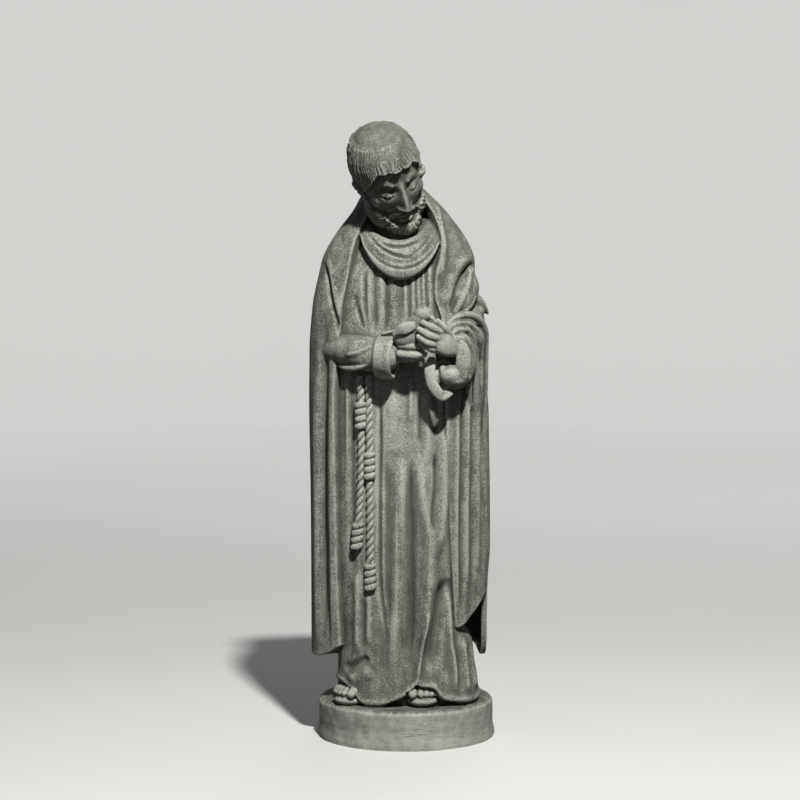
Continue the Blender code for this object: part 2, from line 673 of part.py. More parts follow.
def head_relief(points):
    """The thickness of the hair, the beard and the moustache, with their locks."""
    x, y, z = points.T
    hair, beard, away, flow, clumps = hair_masks(points)
    strands = np.abs(np.sin(24 * flow + 3.4 * np.sin(4.3 * flow + 0.05 * away) + 0.04 * away))
    locks = 0.7 * clumps + 0.4 * strands - 0.6
    fine = np.sin(61 * flow + 4 * np.sin(7 * flow + 0.07 * away))
    lift = hair * (5.5 + 2.5 * ramp(away, 50, 85) + (3.6 * locks + 0.6 * fine) * ramp(away, 43, 62))
    # The beard's locks spread from the mouth, down over the chin and back along the jaw.
    spread = np.arctan2(x, -(z + 40))
    reach = np.hypot(x, z + 40)
    wave = spread + 0.07 * np.sin(0.16 * reach + 3 * spread) + 0.03 * np.sin(0.37 * reach)
    curls = 0.4 * np.abs(np.sin(9 * wave + 0.5 * np.sin(4 * wave))) ** 0.7
    curls += 0.6 * np.abs(np.sin(22 * wave))
    lift += beard * (8.5 + 4 * ramp(-z, 80, 105) + 4.2 * (curls - 0.6))
    side = np.abs(x)
    hairs = 1 + 0.10 * np.sin(0.9 * side + 0.5 * z)
    lift += strokes(side, z, MOUSTACHE) * hairs * (y < -40)
    return lift


def head(grain):
    made = fused("skull", skull_masses(), grain, 8)
    points, normals = points_of(made), normals_of(made)
    points[:, 1] -= face_relief(points) * ramp(-normals[:, 1], 0.1, 0.6) * (points[:, 1] < -20)
    bare = (points, shape_of(made)[1])
    made = fused("head", [bare] + ear(), grain, 2)
    push(made, head_relief(points_of(made)))
    made.data.transform(Matrix(head_frame()))
    return made


def shape_of(made):
    """An object's mesh as points and faces, and the object itself is let go."""
    points = points_of(made)
    faces = [tuple(p.vertices) for p in made.data.polygons]
    bpy.data.objects.remove(made)
    return points, faces


# Sleeves, hands and the bird


def left_sleeve():
    """The arm that comes out of the mantle on the left, with its turned-back cuff."""
    return [
        limb(((-172, -24, 776), (-138, -78, 777), (-96, -120, 774), (-50, -140, 769)), (32, 35, 37, 38),
             squash=0.95),
        limb(((-150, -90, 748), (-128, -120, 741), (-100, -146, 744), (-76, -160, 756)), (4, 7, 6, 3)),
        limb(((-146, -104, 774), (-122, -138, 772), (-98, -156, 778), (-78, -164, 790)), (4, 7, 6, 3)),
        limb(((-140, -96, 794), (-116, -132, 796), (-92, -150, 800)), (4, 6, 3)),
        open_cuff((-62, -137, 769), (-23, -148, 766), 48, 8, 0.92),
    ]


def right_sleeve():
    """The arm on the right, under cloth that runs over it in ridges, and the wide mouth of its sleeve."""
    return [
        limb(((92, -122, 796), (122, -102, 806), (143, -76, 804), (150, -58, 770), (152, -48, 690),
              (152, -48, 600)), (24, 30, 29, 24, 20, 14)),
        blob((116, -66, 780), (50, 70, 52), (0, 14, -20)),
        limb(((90, -148, 838), (108, -136, 850), (124, -122, 857), (149, -98, 852), (167, -74, 834),
              (174, -56, 806), (174, -48, 762), (173, -40, 690), (171, -28, 600)),
             (5, 8, 8.5, 8.5, 8.5, 8.5, 8, 8, 5)),
        limb(((88, -154, 824), (104, -146, 836), (121, -134, 839), (143, -110, 831), (158, -90, 808),
              (163, -74, 768), (163, -58, 690), (161, -46, 600)), (5, 7, 7.5, 8, 8, 7.5, 7, 5)),
        limb(((96, -158, 812), (112, -152, 826), (128, -138, 826), (142, -120, 808), (150, -106, 776),
              (153, -92, 730), (153, -72, 660), (152, -56, 590)), (6, 7, 8, 8, 7.5, 7, 7, 5)),
        limb(((104, -156, 806), (120, -150, 808), (133, -138, 792), (138, -126, 756), (137, -110, 716),
              (140, -78, 650)), (10, 11, 11, 10, 8, 5)),
        # The mouth of the sleeve: a near wall like a small bag, and the turned edge of the far one.
        limb(((114, -136, 818), (128, -128, 792), (131, -122, 756), (124, -122, 728)), (12, 20, 24, 22)),
        limb(((110, -150, 810), (121, -153, 786), (123, -153, 757), (118, -152, 726)), (8, 15, 18, 17),
             squash=0.62),
        limb(((79, -160, 746), (83, -167, 730), (96, -170, 717), (113, -165, 716), (130, -144, 722)),
             (7, 10, 13, 13, 11)),
        blob((102, -158, 735), (21, 17, 22)),
        limb(((55, -158, 758), (51, -166, 738), (54, -171, 716), (63, -173, 698), (78, -170, 684),
              (94, -156, 690)), (11, 12.5, 12.5, 12.5, 12, 9), squash=0.42, facing=(-0.35, -1, 0.1)),
        blob((64, -142, 722), (14, 22, 30), (0, 12, 0)),
        blob((84, -124, 728), (26, 20, 36), (0, 14, 0)),
        blob((108, -104, 736), (40, 34, 42)),
    ]


def right_upper_arm():
    """The cloth on the upper arm on the right, and a fold that juts out behind the elbow."""
    return [
        limb(((138, -38, 948), (132, -48, 920), (122, -60, 892), (108, -72, 862)), (14, 30, 31, 22)),
        limb(((141, -58, 950), (134, -76, 918), (122, -87, 890), (108, -94, 862)), (5, 9, 9, 6)),
        limb(((150, -44, 936), (150, -58, 908), (140, -72, 880), (122, -86, 856)), (5, 9, 9, 6)),
        limb(((128, -30, 868), (158, -14, 880), (177, -2, 866), (176, 6, 850)), (15, 15, 10, 6)),
    ]


def open_cuff(start, end, radius, wall, squash):
    """A short open cuff, bored out from its far end."""
    start, end = np.array(start, float), np.array(end, float)
    axis = end - start
    length = np.linalg.norm(axis)
    axis /= length
    side = np.cross(axis, (0, 0, 1.0))
    side /= np.linalg.norm(side)
    up = np.cross(side, axis)
    profile = [(0, 0.55), (0, 0.86), (0.06, 0.97), (0.2, 1.0), (0.8, 1.03), (0.94, 1.0), (1.0, 0.96)]
    lip = 1 - wall / radius
    profile += [(0.97, lip), (0.5, lip - 0.03), (0.3, lip - 0.08), (0.28, 0.4)]
    stations = through([(s * length, r * radius, 0) for s, r in profile], 40)
    turn = np.linspace(0, 2 * math.pi, 40, endpoint=False)[:, None]
    rings = [
        start + axis * d + r * (np.cos(turn) * up + squash * np.sin(turn) * side)
        for d, r, _ in stations
    ]
    return loft(np.array(rings))


def finger(knuckle, middle, tip, thickness):
    return limb((knuckle, middle, tip), (thickness * 1.08, thickness, thickness * 0.8), grain=2.0)


def hands():
    right = [
        limb(((68, -174, 806), (86, -168, 796), (108, -152, 787)), (25, 28, 26), squash=0.62, facing=(0.2, -1, 0.2)),
        finger((74, -182, 822), (54, -193, 833), (36, -194, 842), 8.0),
        finger((69, -186, 808), (48, -199, 816), (28, -197, 828), 8.4),
        finger((65, -185, 794), (46, -197, 800), (27, -195, 812), 8.2),
        finger((64, -178, 779), (48, -188, 785), (31, -187, 796), 7.6),
        finger((90, -170, 824), (74, -181, 843), (60, -180, 853), 8.0),
    ]
    left = [
        blob((-20, -150, 780), (34, 17, 26), (0, 6, 0)),
        limb(((-60, -142, 774), (-30, -148, 778)), (25, 24), squash=0.8),
        finger((-10, -166, 792), (14, -176, 791), (37, -174, 792), 8.4),
        finger((-12, -168, 774), (14, -178, 772), (39, -174, 774), 8.8),
        finger((-12, -154, 766), (10, -160, 764), (28, -156, 766), 7.8),
    ]
    return right + left


def bird():
    return [
        blob((6, -160, 815), (37, 27, 30), (0, -18, 0)),
        limb(((18, -166, 830), (29, -171, 846), (36, -173, 857)), (21, 19, 17)),
        blob((37, -174, 859), (19, 17, 18)),
        limb(((49, -180, 856), (58, -185, 849), (65, -188, 841)), (6.5, 4.5, 2)),
        limb(((-8, -158, 822), (-28, -158, 820), (-45, -158, 817)), (15, 12, 9), squash=0.45,
             facing=(0, 0.3, 1)),
        limb(((22, -189, 838), (-2, -191, 830), (-26, -182, 817)), (8, 13, 4), squash=0.42),
        limb(((22, -137, 838), (-2, -133, 830), (-26, -142, 817)), (8, 13, 4), squash=0.42),
    ]


# The knotted cord

CORD_RADIUS = 7.0
KNOT_RADIUS = 13.5
KNOT_LENGTH = 62.0
# Place across, top, and the heights of the two knots' lower ends.
CORD_STRANDS = (((-99, -98, -108), 724, (607, 343)), ((-81, -79, -78), 724, (497, 254)))


def cord_strand(strand, sides, step):
    """One strand of the cord, twisted, with barrel knots of four turns each."""
    across, top, knots = strand
    z = np.arange(top, knots[-1] - 6, -step)
    x = along(((knots[-1] - 6, across[2]), ((top + knots[-1]) / 2, across[1]), (top + 1, across[0])), z)[:, 0]
    turn = np.linspace(0, 2 * math.pi, sides, endpoint=False)
    radius = CORD_RADIUS + 1.5 * np.abs(np.sin(turn[None, :] - z[:, None] * 0.105))
    for low in knots:
        inside = ramp(z, low - 3, low + 3) * (1 - ramp(z, low + KNOT_LENGTH - 8, low + KNOT_LENGTH))
        phase = math.pi * (z[:, None] - low) / (KNOT_LENGTH / 4) + 0.25 * np.sin(turn[None, :])
        coil = KNOT_RADIUS + 2.4 * np.abs(np.sin(phase))
        radius = radius + inside[:, None] * (coil - 2.5 - radius)
    y = np.array([front_of_tunic(a, h) for a, h in zip(x, z)]) - 5
    rings = np.stack(
        [x[:, None] + radius * np.sin(turn), y[:, None] - radius * np.cos(turn), z[:, None] + 0 * radius], -1
    )
    return loft(rings[::-1])


# The feet


def foot(middle, heading, length, toes):
    """Five toes over the thick sole of a sandal. toes is 1 if the big toe is on the left."""
    rotation = np.array(Matrix.Rotation(math.radians(heading), 3, "Z"))

    def place(x, y, z):
        return tuple(np.array(middle, float) + rotation @ np.array((x, y, z), float))

    up = (0, 0, 1)
    sole = limb((place(0, 60, 9), place(0, 0, 9), place(0, 25 - length, 9)), (28, 32, 25),
                squash=0.36, facing=up)
    instep = limb((place(0, 50, 40), place(0, 14, 38), place(0, -12, 30)), (28, 28, 24),
                  squash=0.75, facing=up)
    shapes = [sole, instep]
    for i in range(5):
        x = toes * (i - 2) * 12.3
        width = 8.0 - 0.5 * i if i else 9.2
        reach = length - 9 - 1.2 * i * i
        path = (place(x * 0.8, 4, 36), place(x, -reach * 0.55, 36 - i), place(x, -reach, 27 - i * 0.5))
        shapes.append(limb(path, (width, width * 1.06, width * 0.9), grain=2.0))
    return shapes


FEET = (((-120, -92, 0), -26, 42, -1), ((36, -113, 0), 2, 42, -1))


# The plinth


def plinth():
    """A low round block with a rounded rim, a little wider at its foot."""
    count = 4
    profile = [(PLINTH_RADIUS + PLINTH_FLARE, 0.0), (PLINTH_RADIUS, PLINTH_HEIGHT * 0.4)]
    for i in range(count + 1):
        a = math.pi / 2 * i / count
        sunk, drop = PLINTH_RIM * (1 - math.cos(a)), PLINTH_RIM * (1 - math.sin(a))
        profile.append((PLINTH_RADIUS - sunk, PLINTH_HEIGHT - drop))
    bm = bmesh.new()
    rings = []
    for radius, height in profile:
        ring = []
        for i in range(PLINTH_SIDES):
            a = 2 * math.pi * i / PLINTH_SIDES
            ring.append(bm.verts.new((radius * math.cos(a), radius * math.sin(a), height)))
        rings.append(ring)
    for lower, upper in zip(rings[:-1], rings[1:]):
        for i in range(PLINTH_SIDES):
            j = (i + 1) % PLINTH_SIDES
            bm.faces.new((lower[i], lower[j], upper[j], upper[i]))
    bm.faces.new(rings[0][::-1])
    bm.faces.new(rings[-1])
    mesh = bpy.data.meshes.new("plinth")
    bm.to_mesh(mesh)
    bm.free()
    made = bpy.data.objects.new("plinth", mesh)
    bpy.context.scene.collection.objects.link(made)
    return made


# The whole statue


def on_plinth(made):
    """Scales a shape from the figure's millimetres and stands it on the plinth."""
    made.data.transform(
        Matrix.Translation((0, 0, PLINTH_HEIGHT)) @ Matrix.Scale(FIGURE_HEIGHT / MODELLED_HEIGHT, 4)
    )
    return made


def joined(base, others):
    for other in others:
        union = base.modifiers.new("join " + other.name, "BOOLEAN")
        union.operation = "UNION"
        union.solver = "EXACT"
        union.object = other
        applied(base)
        bpy.data.objects.remove(other)
    return base


def stone():
    material = bpy.data.materials.new("cast stone")
    material.use_nodes = True
    shader = material.node_tree.nodes["Principled BSDF"]
    shader.inputs["Base Color"].default_value = STONE_COLOUR
    shader.inputs["Roughness"].default_value = STONE_ROUGHNESS
    shader.inputs["Metallic"].default_value = 0.0
    return material


def main():
    for old in list(bpy.data.objects):
        bpy.data.objects.remove(old)
    cloth = [tunic(CLOTH_GRAIN), mantle(CLOTH_GRAIN), cowl(CLOTH_GRAIN)]
    cloth += hood() + right_upper_arm() + right_sleeve() + left_sleeve()
    cloth.append(limb(((-16, 16, 1000), (-24, -10, 1070), (-34, -50, 1130)), (56, 54, 54)))
    figure = thinned(fused("cloth", cloth, CLOTH_GRAIN), CLOTH_FACES)
    pieces = [
        thinned(head(FINE_GRAIN), HEAD_FACES),
        thinned(fused("hands and bird", hands() + bird(), FINE_GRAIN), HANDS_FACES),
    ]
    for place in FEET:
        pieces.append(thinned(fused("foot", foot(*place), FINE_GRAIN), FOOT_FACES))
    for strand in CORD_STRANDS:
        pieces.append(mesh_object("cord", cord_strand(strand, 6, 9.0)))
    statue = keep_largest(joined(plinth(), [on_plinth(made) for made in [figure] + pieces]))
    statue.name = statue.data.name = "saint_francis_statue"
    statue.data.materials.clear()
    statue.data.materials.append(stone())


main()
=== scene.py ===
"""A cast stone garden statue: a standing friar with a bird in his hands, on a round plinth.

Metres, +Z up, the figure faces -Y, and the origin is the middle of the plinth's underside.
The figure is shaped in millimetres of its own full height, from the plinth's top up, and is then scaled to
FIGURE_HEIGHT.
In these comments left and right are the viewer's, looking at the front.
"""

import math

import bmesh
import bpy
import numpy as np
from mathutils import Euler, Matrix


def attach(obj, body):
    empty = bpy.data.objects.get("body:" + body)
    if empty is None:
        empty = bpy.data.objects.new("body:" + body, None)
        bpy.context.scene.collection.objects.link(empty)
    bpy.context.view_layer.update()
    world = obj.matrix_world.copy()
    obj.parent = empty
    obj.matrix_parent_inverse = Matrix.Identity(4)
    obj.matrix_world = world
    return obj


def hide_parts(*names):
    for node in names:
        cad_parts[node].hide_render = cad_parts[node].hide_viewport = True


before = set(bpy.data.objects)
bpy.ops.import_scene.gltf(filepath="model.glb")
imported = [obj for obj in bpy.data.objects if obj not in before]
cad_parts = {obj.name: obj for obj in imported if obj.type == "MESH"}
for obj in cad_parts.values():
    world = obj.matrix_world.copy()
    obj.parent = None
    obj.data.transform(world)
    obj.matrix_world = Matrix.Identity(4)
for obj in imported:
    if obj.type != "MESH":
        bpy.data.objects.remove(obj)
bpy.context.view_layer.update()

FIGURE_HEIGHT = 1.284
PLINTH_RADIUS = 0.194
PLINTH_HEIGHT = 0.086
PLINTH_RIM = 0.011
PLINTH_FLARE = 0.004
MODELLED_HEIGHT = 1284.0

# Spacing of the surfaces and most triangles of the pieces. Spacings are in the figure's millimetres.
ROBE_GRAIN = 2.1
ROBE_FACES = 190000
HEAD_GRAIN = 1.25
HEAD_FACES = 150000
HANDS_GRAIN = 1.2
HANDS_FACES = 110000
FOOT_GRAIN = 1.3
FOOT_FACES = 30000
CORD_GRAIN = 1.2
CORD_FACES = 60000
PLINTH_GRAIN = 3.0


# Curves and profiles


def along(table, at):
    """A smooth curve through a table's rows (position, value, ...), read at the given positions."""
    rows = np.array(table, float)
    x, y = rows[:, 0], rows[:, 1:]
    slope = np.diff(y, axis=0) / np.diff(x)[:, None]
    tangent = np.vstack([slope[:1], (slope[1:] + slope[:-1]) / 2, slope[-1:]])
    turning = np.zeros_like(tangent, bool)
    turning[1:-1] = slope[1:] * slope[:-1] <= 0
    tangent[turning] = 0
    at = np.clip(np.asarray(at, float), x[0], x[-1])
    i = np.clip(np.searchsorted(x, at, side="right") - 1, 0, len(x) - 2)
    step = (x[i + 1] - x[i])[..., None]
    s = (at - x[i])[..., None] / step
    start = (2 * s**3 - 3 * s**2 + 1) * y[i] + (s**3 - 2 * s**2 + s) * step * tangent[i]
    end = (3 * s**2 - 2 * s**3) * y[i + 1] + (s**3 - s**2) * step * tangent[i + 1]
    return start + end


def through(points, count):
    """Evenly spaced points on a smooth curve through the given ones."""
    points = np.array(points, float)
    if len(points) < 3:
        return points[:1] + np.linspace(0, 1, count)[:, None] * (points[-1:] - points[:1])
    reach = np.concatenate([[0], np.cumsum(np.linalg.norm(np.diff(points[:, :3], axis=0), axis=1))])
    return along(np.column_stack([reach, points]), np.linspace(0, reach[-1], count))


def ramp(value, low, high):
    """0 below low, 1 above high, and smooth in between."""
    s = np.clip((np.asarray(value, float) - low) / (high - low), 0, 1)
    return s * s * (3 - 2 * s)


# The share of a stroke over which it fades at each end.
STROKE_END = 0.2


def stroke(across, up, path, width, height):
    """The height that one ridge, or groove if height is negative, adds along a path drawn on a surface."""
    line = through(path, 5 * len(path))
    total = np.linalg.norm(np.diff(line, axis=0), axis=1).sum()
    margin = 3 * width
    low, high = line.min(0) - margin, line.max(0) + margin
    added = np.zeros(across.shape)
    near = (across > low[0]) & (across < high[0]) & (up > low[1]) & (up < high[1])
    p = np.stack([across[near], up[near]], axis=-1)
    best = np.full(len(p), np.inf)
    share = np.zeros(len(p))
    gone = 0.0
    for a, b in zip(line[:-1], line[1:]):
        edge = b - a
        length = np.linalg.norm(edge)
        s = np.clip((p - a) @ edge / length**2, 0, 1)
        distance = np.linalg.norm(p - a - s[:, None] * edge, axis=1)
        closer = distance < best
        best[closer] = distance[closer]
        share[closer] = (gone + s[closer] * length) / total
        gone += length
    fade = ramp(share, 0, STROKE_END) * ramp(1 - share, 0, STROKE_END)
    added[near] = height * np.exp(-((best / width) ** 2)) * fade
    return added


def strokes(across, up, table):
    """All of a table's strokes (width, height, path) together."""
    return sum(stroke(across, up, path, width, height) for width, height, path in table)


def wavy(value, seed):
    """A gentle, irregular wave between about -1 and 1."""
    slow, quick = 0.3 * np.sin(2.3 * value + 1.7 * seed), 0.2 * np.sin(4.1 * value + 2.9 * seed)
    return 0.5 * np.sin(value + seed) + slow + quick


def grid_faces(rows, columns, closed):
    """Four-sided faces over a grid of points, row by row."""
    wrap = columns if closed else columns - 1
    r, c = np.meshgrid(np.arange(rows - 1), np.arange(wrap), indexing="ij")
    right = (c + 1) % columns
    below, above = r * columns, (r + 1) * columns
    return np.stack([below + c, below + right, above + right, above + c], -1).reshape(-1, 4)


def loft(rings):
    """A closed skin over rings of points, with a fan over each end."""
    rows, columns = rings.shape[:2]
    faces = [tuple(f) for f in grid_faces(rows, columns, True)]
    low, high = rows * columns, rows * columns + 1
    last = (rows - 1) * columns
    for c in range(columns):
        right = (c + 1) % columns
        faces.append((low, right, c))
        faces.append((high, last + c, last + right))
    points = np.vstack([rings.reshape(-1, 3), rings[0].mean(0), rings[-1].mean(0)])
    return points, faces


def slab(outer, inner):
    """A closed sheet between an outer and an inner grid of points."""
    rows, columns = outer.shape[:2]
    count = rows * columns
    faces = [tuple(f) for f in grid_faces(rows, columns, False)]
    faces += [tuple(count + i for i in reversed(f)) for f in faces]
    rim = list(range(columns))
    rim += [r * columns + columns - 1 for r in range(1, rows)]
    rim += [(rows - 1) * columns + c for c in range(columns - 2, -1, -1)]
    rim += [r * columns for r in range(rows - 2, 0, -1)]
    for a, b in zip(rim, rim[1:] + rim[:1]):
        faces.append((b, a, count + a, count + b))
    return np.vstack([outer.reshape(-1, 3), inner.reshape(-1, 3)]), faces


def limb(path, radii, grain=3.0, squash=1.0, facing=(0, -1, 0)):
    """A round-ended tube along a path. squash thins it in the direction that it faces."""
    controls = np.column_stack([np.array(path, float), np.broadcast_to(radii, len(path))])
    length = np.linalg.norm(np.diff(controls[:, :3], axis=0), axis=1).sum()
    count = max(6, int(length / grain) + 1)
    line = through(controls, count)
    centre, radius = line[:, :3], line[:, 3]
    tangent = np.gradient(centre, axis=0)
    tangent /= np.linalg.norm(tangent, axis=1)[:, None]
    side = np.cross(tangent, np.array(facing, float))
    side /= np.linalg.norm(side, axis=1)[:, None]
    front = np.cross(side, tangent)
    bend = np.radians([85, 65, 45, 22])
    start = [(centre[0] - tangent[0] * radius[0] * math.sin(a), radius[0] * math.cos(a), 0) for a in bend]
    middle = [(centre[i], radius[i], i) for i in range(count)]
    end = [
        (centre[-1] + tangent[-1] * radius[-1] * math.sin(a), radius[-1] * math.cos(a), count - 1)
        for a in bend[::-1]
    ]
    sides = max(10, int(2 * math.pi * radius.max() / grain))
    turn = np.linspace(0, 2 * math.pi, sides, endpoint=False)[:, None]
    rings = [
        c + r * (np.cos(turn) * side[i] + np.sin(turn) * squash * front[i])
        for c, r, i in start + middle + end
    ]
    return loft(np.array(rings))


def blob(centre, radii, turn=(0, 0, 0), grain=3.0):
    """An ellipsoid, turned by degrees about X, Y and Z."""
    sides = max(14, int(2 * math.pi * max(radii) / grain))
    polar = np.linspace(0.04, math.pi - 0.04, sides // 2)[:, None]
    around = np.linspace(0, 2 * math.pi, sides, endpoint=False)
    rings = np.stack(
        [np.sin(polar) * np.cos(around), np.sin(polar) * np.sin(around), -np.cos(polar) + 0 * around], -1
    )
    rotation = np.array(Euler([math.radians(a) for a in turn]).to_matrix())
    return loft((rings * np.array(radii, float)) @ rotation.T + np.array(centre, float))


# Blender objects from shapes


def mesh_object(name, shape):
    points, faces = shape
    mesh = bpy.data.meshes.new(name)
    mesh.from_pydata([tuple(p) for p in points], [], [tuple(int(i) for i in f) for f in faces])
    made = bpy.data.objects.new(name, mesh)
    bpy.context.scene.collection.objects.link(made)
    return made


def alone(made):
    """Selects one object and no other."""
    bpy.ops.object.select_all(action="DESELECT")
    made.select_set(True)
    bpy.context.view_layer.objects.active = made
    return made


def applied(made):
    """The object with its modifiers applied, first to last."""
    alone(made)
    for modifier in list(made.modifiers):
        bpy.ops.object.modifier_apply(modifier=modifier.name)
    return made


def keep_largest(made):
    """Drops the loose scraps that a remesh leaves inside hollows."""
    count = len(made.data.vertices)
    edges = np.empty(len(made.data.edges) * 2, np.int64)
    made.data.edges.foreach_get("vertices", edges)
    edges = edges.reshape(-1, 2)
    group = np.arange(count)
    while True:
        lowest = np.minimum(group[edges[:, 0]], group[edges[:, 1]])
        joined = group.copy()
        np.minimum.at(joined, edges[:, 0], lowest)
        np.minimum.at(joined, edges[:, 1], lowest)
        joined = joined[joined]
        if (joined == group).all():
            break
        group = joined
    names, sizes = np.unique(group, return_counts=True)
    if len(names) > 1:
        stray = np.nonzero(group != names[sizes.argmax()])[0]
        bm = bmesh.new()
        bm.from_mesh(made.data)
        bm.verts.ensure_lookup_table()
        bmesh.ops.delete(bm, geom=[bm.verts[i] for i in stray], context="VERTS")
        bm.to_mesh(made.data)
        bm.free()
    return made


def fused(name, shapes, grain, smoothing=2):
    """One skin over overlapping shapes."""
    points, faces, start = [], [], 0
    for shape_points, shape_faces in shapes:
        points.append(shape_points)
        faces += [tuple(start + i for i in f) for f in shape_faces]
        start += len(shape_points)
    made = mesh_object(name, (np.vstack(points), faces))
    remesh = made.modifiers.new("one skin", "REMESH")
    remesh.mode = "VOXEL"
    remesh.voxel_size = grain
    smooth = made.modifiers.new("worn smooth", "SMOOTH")
    smooth.factor = 0.5
    smooth.iterations = smoothing
    return keep_largest(applied(made))


def thinned(made, faces):
    """The same form on fewer triangles, where it has more than that."""
    triangles = sum(len(p.vertices) - 2 for p in made.data.polygons)
    if triangles > faces:
        decimate = made.modifiers.new("fewer faces", "DECIMATE")
        decimate.ratio = faces / triangles
        applied(made)
    return made


def relaxed(made, points, rounds):
    """The points after they have moved some rounds towards the middle of their neighbours."""
    edges = np.empty(len(made.data.edges) * 2, np.int64)
    made.data.edges.foreach_get("vertices", edges)
    a, b = edges.reshape(-1, 2).T
    count = len(points)
    near = np.bincount(a, minlength=count) + np.bincount(b, minlength=count)
    for _ in range(rounds):
        total = np.stack(
            [
                np.bincount(a, points[b, i], minlength=count) + np.bincount(b, points[a, i], minlength=count)
                for i in range(3)
            ],
            -1,
        )
        points = 0.3 * points + 0.7 * total / near[:, None]
    return points


def mark_wear_and_shade(made, grain):
    """Writes how far each point stands out, near and wide, as edge and rise, and how far it faces up."""
    points, normals = points_of(made), normals_of(made)
    rounds_near = max(2, int((5 / grain) ** 2))
    rounds_wide = max(8, int((13 / grain) ** 2))
    near = relaxed(made, points, rounds_near)
    wide = relaxed(made, near, rounds_wide)
    marks = [(name, np.tanh(((points - smooth) * normals).sum(1) / scale))
             for name, smooth, scale in (("edge", near, 0.9), ("rise", wide, 4.5))]
    for name, amount in marks + [("upward", normals[:, 2])]:
        if name in made.data.attributes:
            made.data.attributes.remove(made.data.attributes[name])
        layer = made.data.attributes.new(name, "FLOAT", "POINT")
        layer.data.foreach_set("value", amount.astype(np.float32))
    return made


def points_of(made):
    points = np.empty(len(made.data.vertices) * 3)
    made.data.vertices.foreach_get("co", points)
    return points.reshape(-1, 3)


def normals_of(made):
    normals = np.empty(len(made.data.vertices) * 3)
    made.data.vertex_normals.foreach_get("vector", normals)
    return normals.reshape(-1, 3)


def push(made, amount):
    """Moves each point along its normal."""
    moved = points_of(made) + normals_of(made) * amount[:, None]
    made.data.vertices.foreach_set("co", moved.ravel())
    made.data.update()
    return made


def shape_of(made):
    """An object's mesh as points and faces, and the object itself is let go."""
    points = points_of(made)
    faces = [tuple(p.vertices) for p in made.data.polygons]
    bpy.data.objects.remove(made)
    return points, faces


# The tunic


# Height, half width, front depth, back depth, middle.
TUNIC = (
    (-10, 158, 146, 124, 5),
    (40, 156, 146, 122, 4),
    (95, 151, 137, 118, 0),
    (130, 149, 131, 116, -2),
    (172, 140, 127, 112, -12),
    (240, 140, 123, 110, -16),
    (330, 150, 120, 108, -15),
    (560, 150, 115, 104, -16),
    (700, 150, 114, 104, -17),
    (820, 146, 110, 104, -19),
    (930, 132, 101, 102, -19),
    (975, 112, 84, 98, -18),
    (1015, 84, 66, 84, -18),
    (1050, 62, 50, 70, -20),
    (1075, 50, 44, 60, -22),
)
TUNIC_SQUARENESS = 3.1

# Width, height and path (across, up) of the folds on the front of the skirt.
SKIRT_FOLDS = (
    (3.5, -10.4, ((-54, 697), (-55, 583), (-56, 450), (-56, 319), (-53, 240), (-46, 187), (-39, 130))),
    (13, -10.4, ((-43, 556), (-41, 468), (-41, 363), (-41, 253), (-33, 165))),
    (22, 6.5, ((-26, 690), (-26, 610), (-20, 540))),
    (16, 14.3, ((-15, 569), (-10, 468), (-17, 363), (-22, 240), (-26, 143), (-27, 50))),
    (9, -19.5, ((11, 552), (11, 500), (11, 440), (13, 363), (13, 240), (8, 143), (13, 77))),
    (15, 16.9, ((30, 569), (36, 451), (50, 372), (51, 292), (43, 209), (36, 143), (27, 80))),
    (5.5, 11.7, ((48, 215), (36, 143), (27, 70), (25, 50))),
    (6, -11.7, ((61, 560), (65, 520), (66, 486), (60, 433), (56, 376))),
    (11, 10.4, ((82, 620), (83, 540), (83, 477), (76, 380), (69, 319))),
    (13, -19.5, ((89, 284), (76, 222), (63, 147), (50, 81))),
    (6.5, 11.7, ((89, 275), (92, 196), (96, 143), (104, 90), (109, 20))),
    (7, -6.6, ((113, 165), (117, 99), (122, 30))),
    (5, 6.6, ((126, 150), (132, 77), (139, 20))),
    (4, -5.5, ((136, 130), (141, 77), (148, 25))),
    (5, 5.5, ((143, 130), (148, 77), (156, 25))),
    (4, 5.2, ((-127, 720), (-127, 627), (-128, 530))),
    (7, -6.5, ((-118, 700), (-118, 540), (-117, 380), (-114, 260))),
    (9, 9.1, ((-104, 300), (-104, 230), (-104, 165), (-106, 108))),
    (8, 6.5, ((-81, 260), (-80, 200), (-82, 130))),
    (6, -5.2, ((-92, 240), (-93, 180), (-94, 120))),
    (9, -8.8, ((-134, 74), (-122, 82), (-100, 97), (-77, 106))),
    (14, 6.6, ((-128, 56), (-100, 66), (-72, 84))),
    (4, 5.2, ((11, 712), (11, 680), (10, 620))),
    (5, -6.5, ((28, 690), (29, 640), (30, 570))),
    (9, 6.5, ((47, 690), (48, 600), (46, 520))),
    (10, -6.5, ((64, 700), (66, 640), (64, 590))),
)

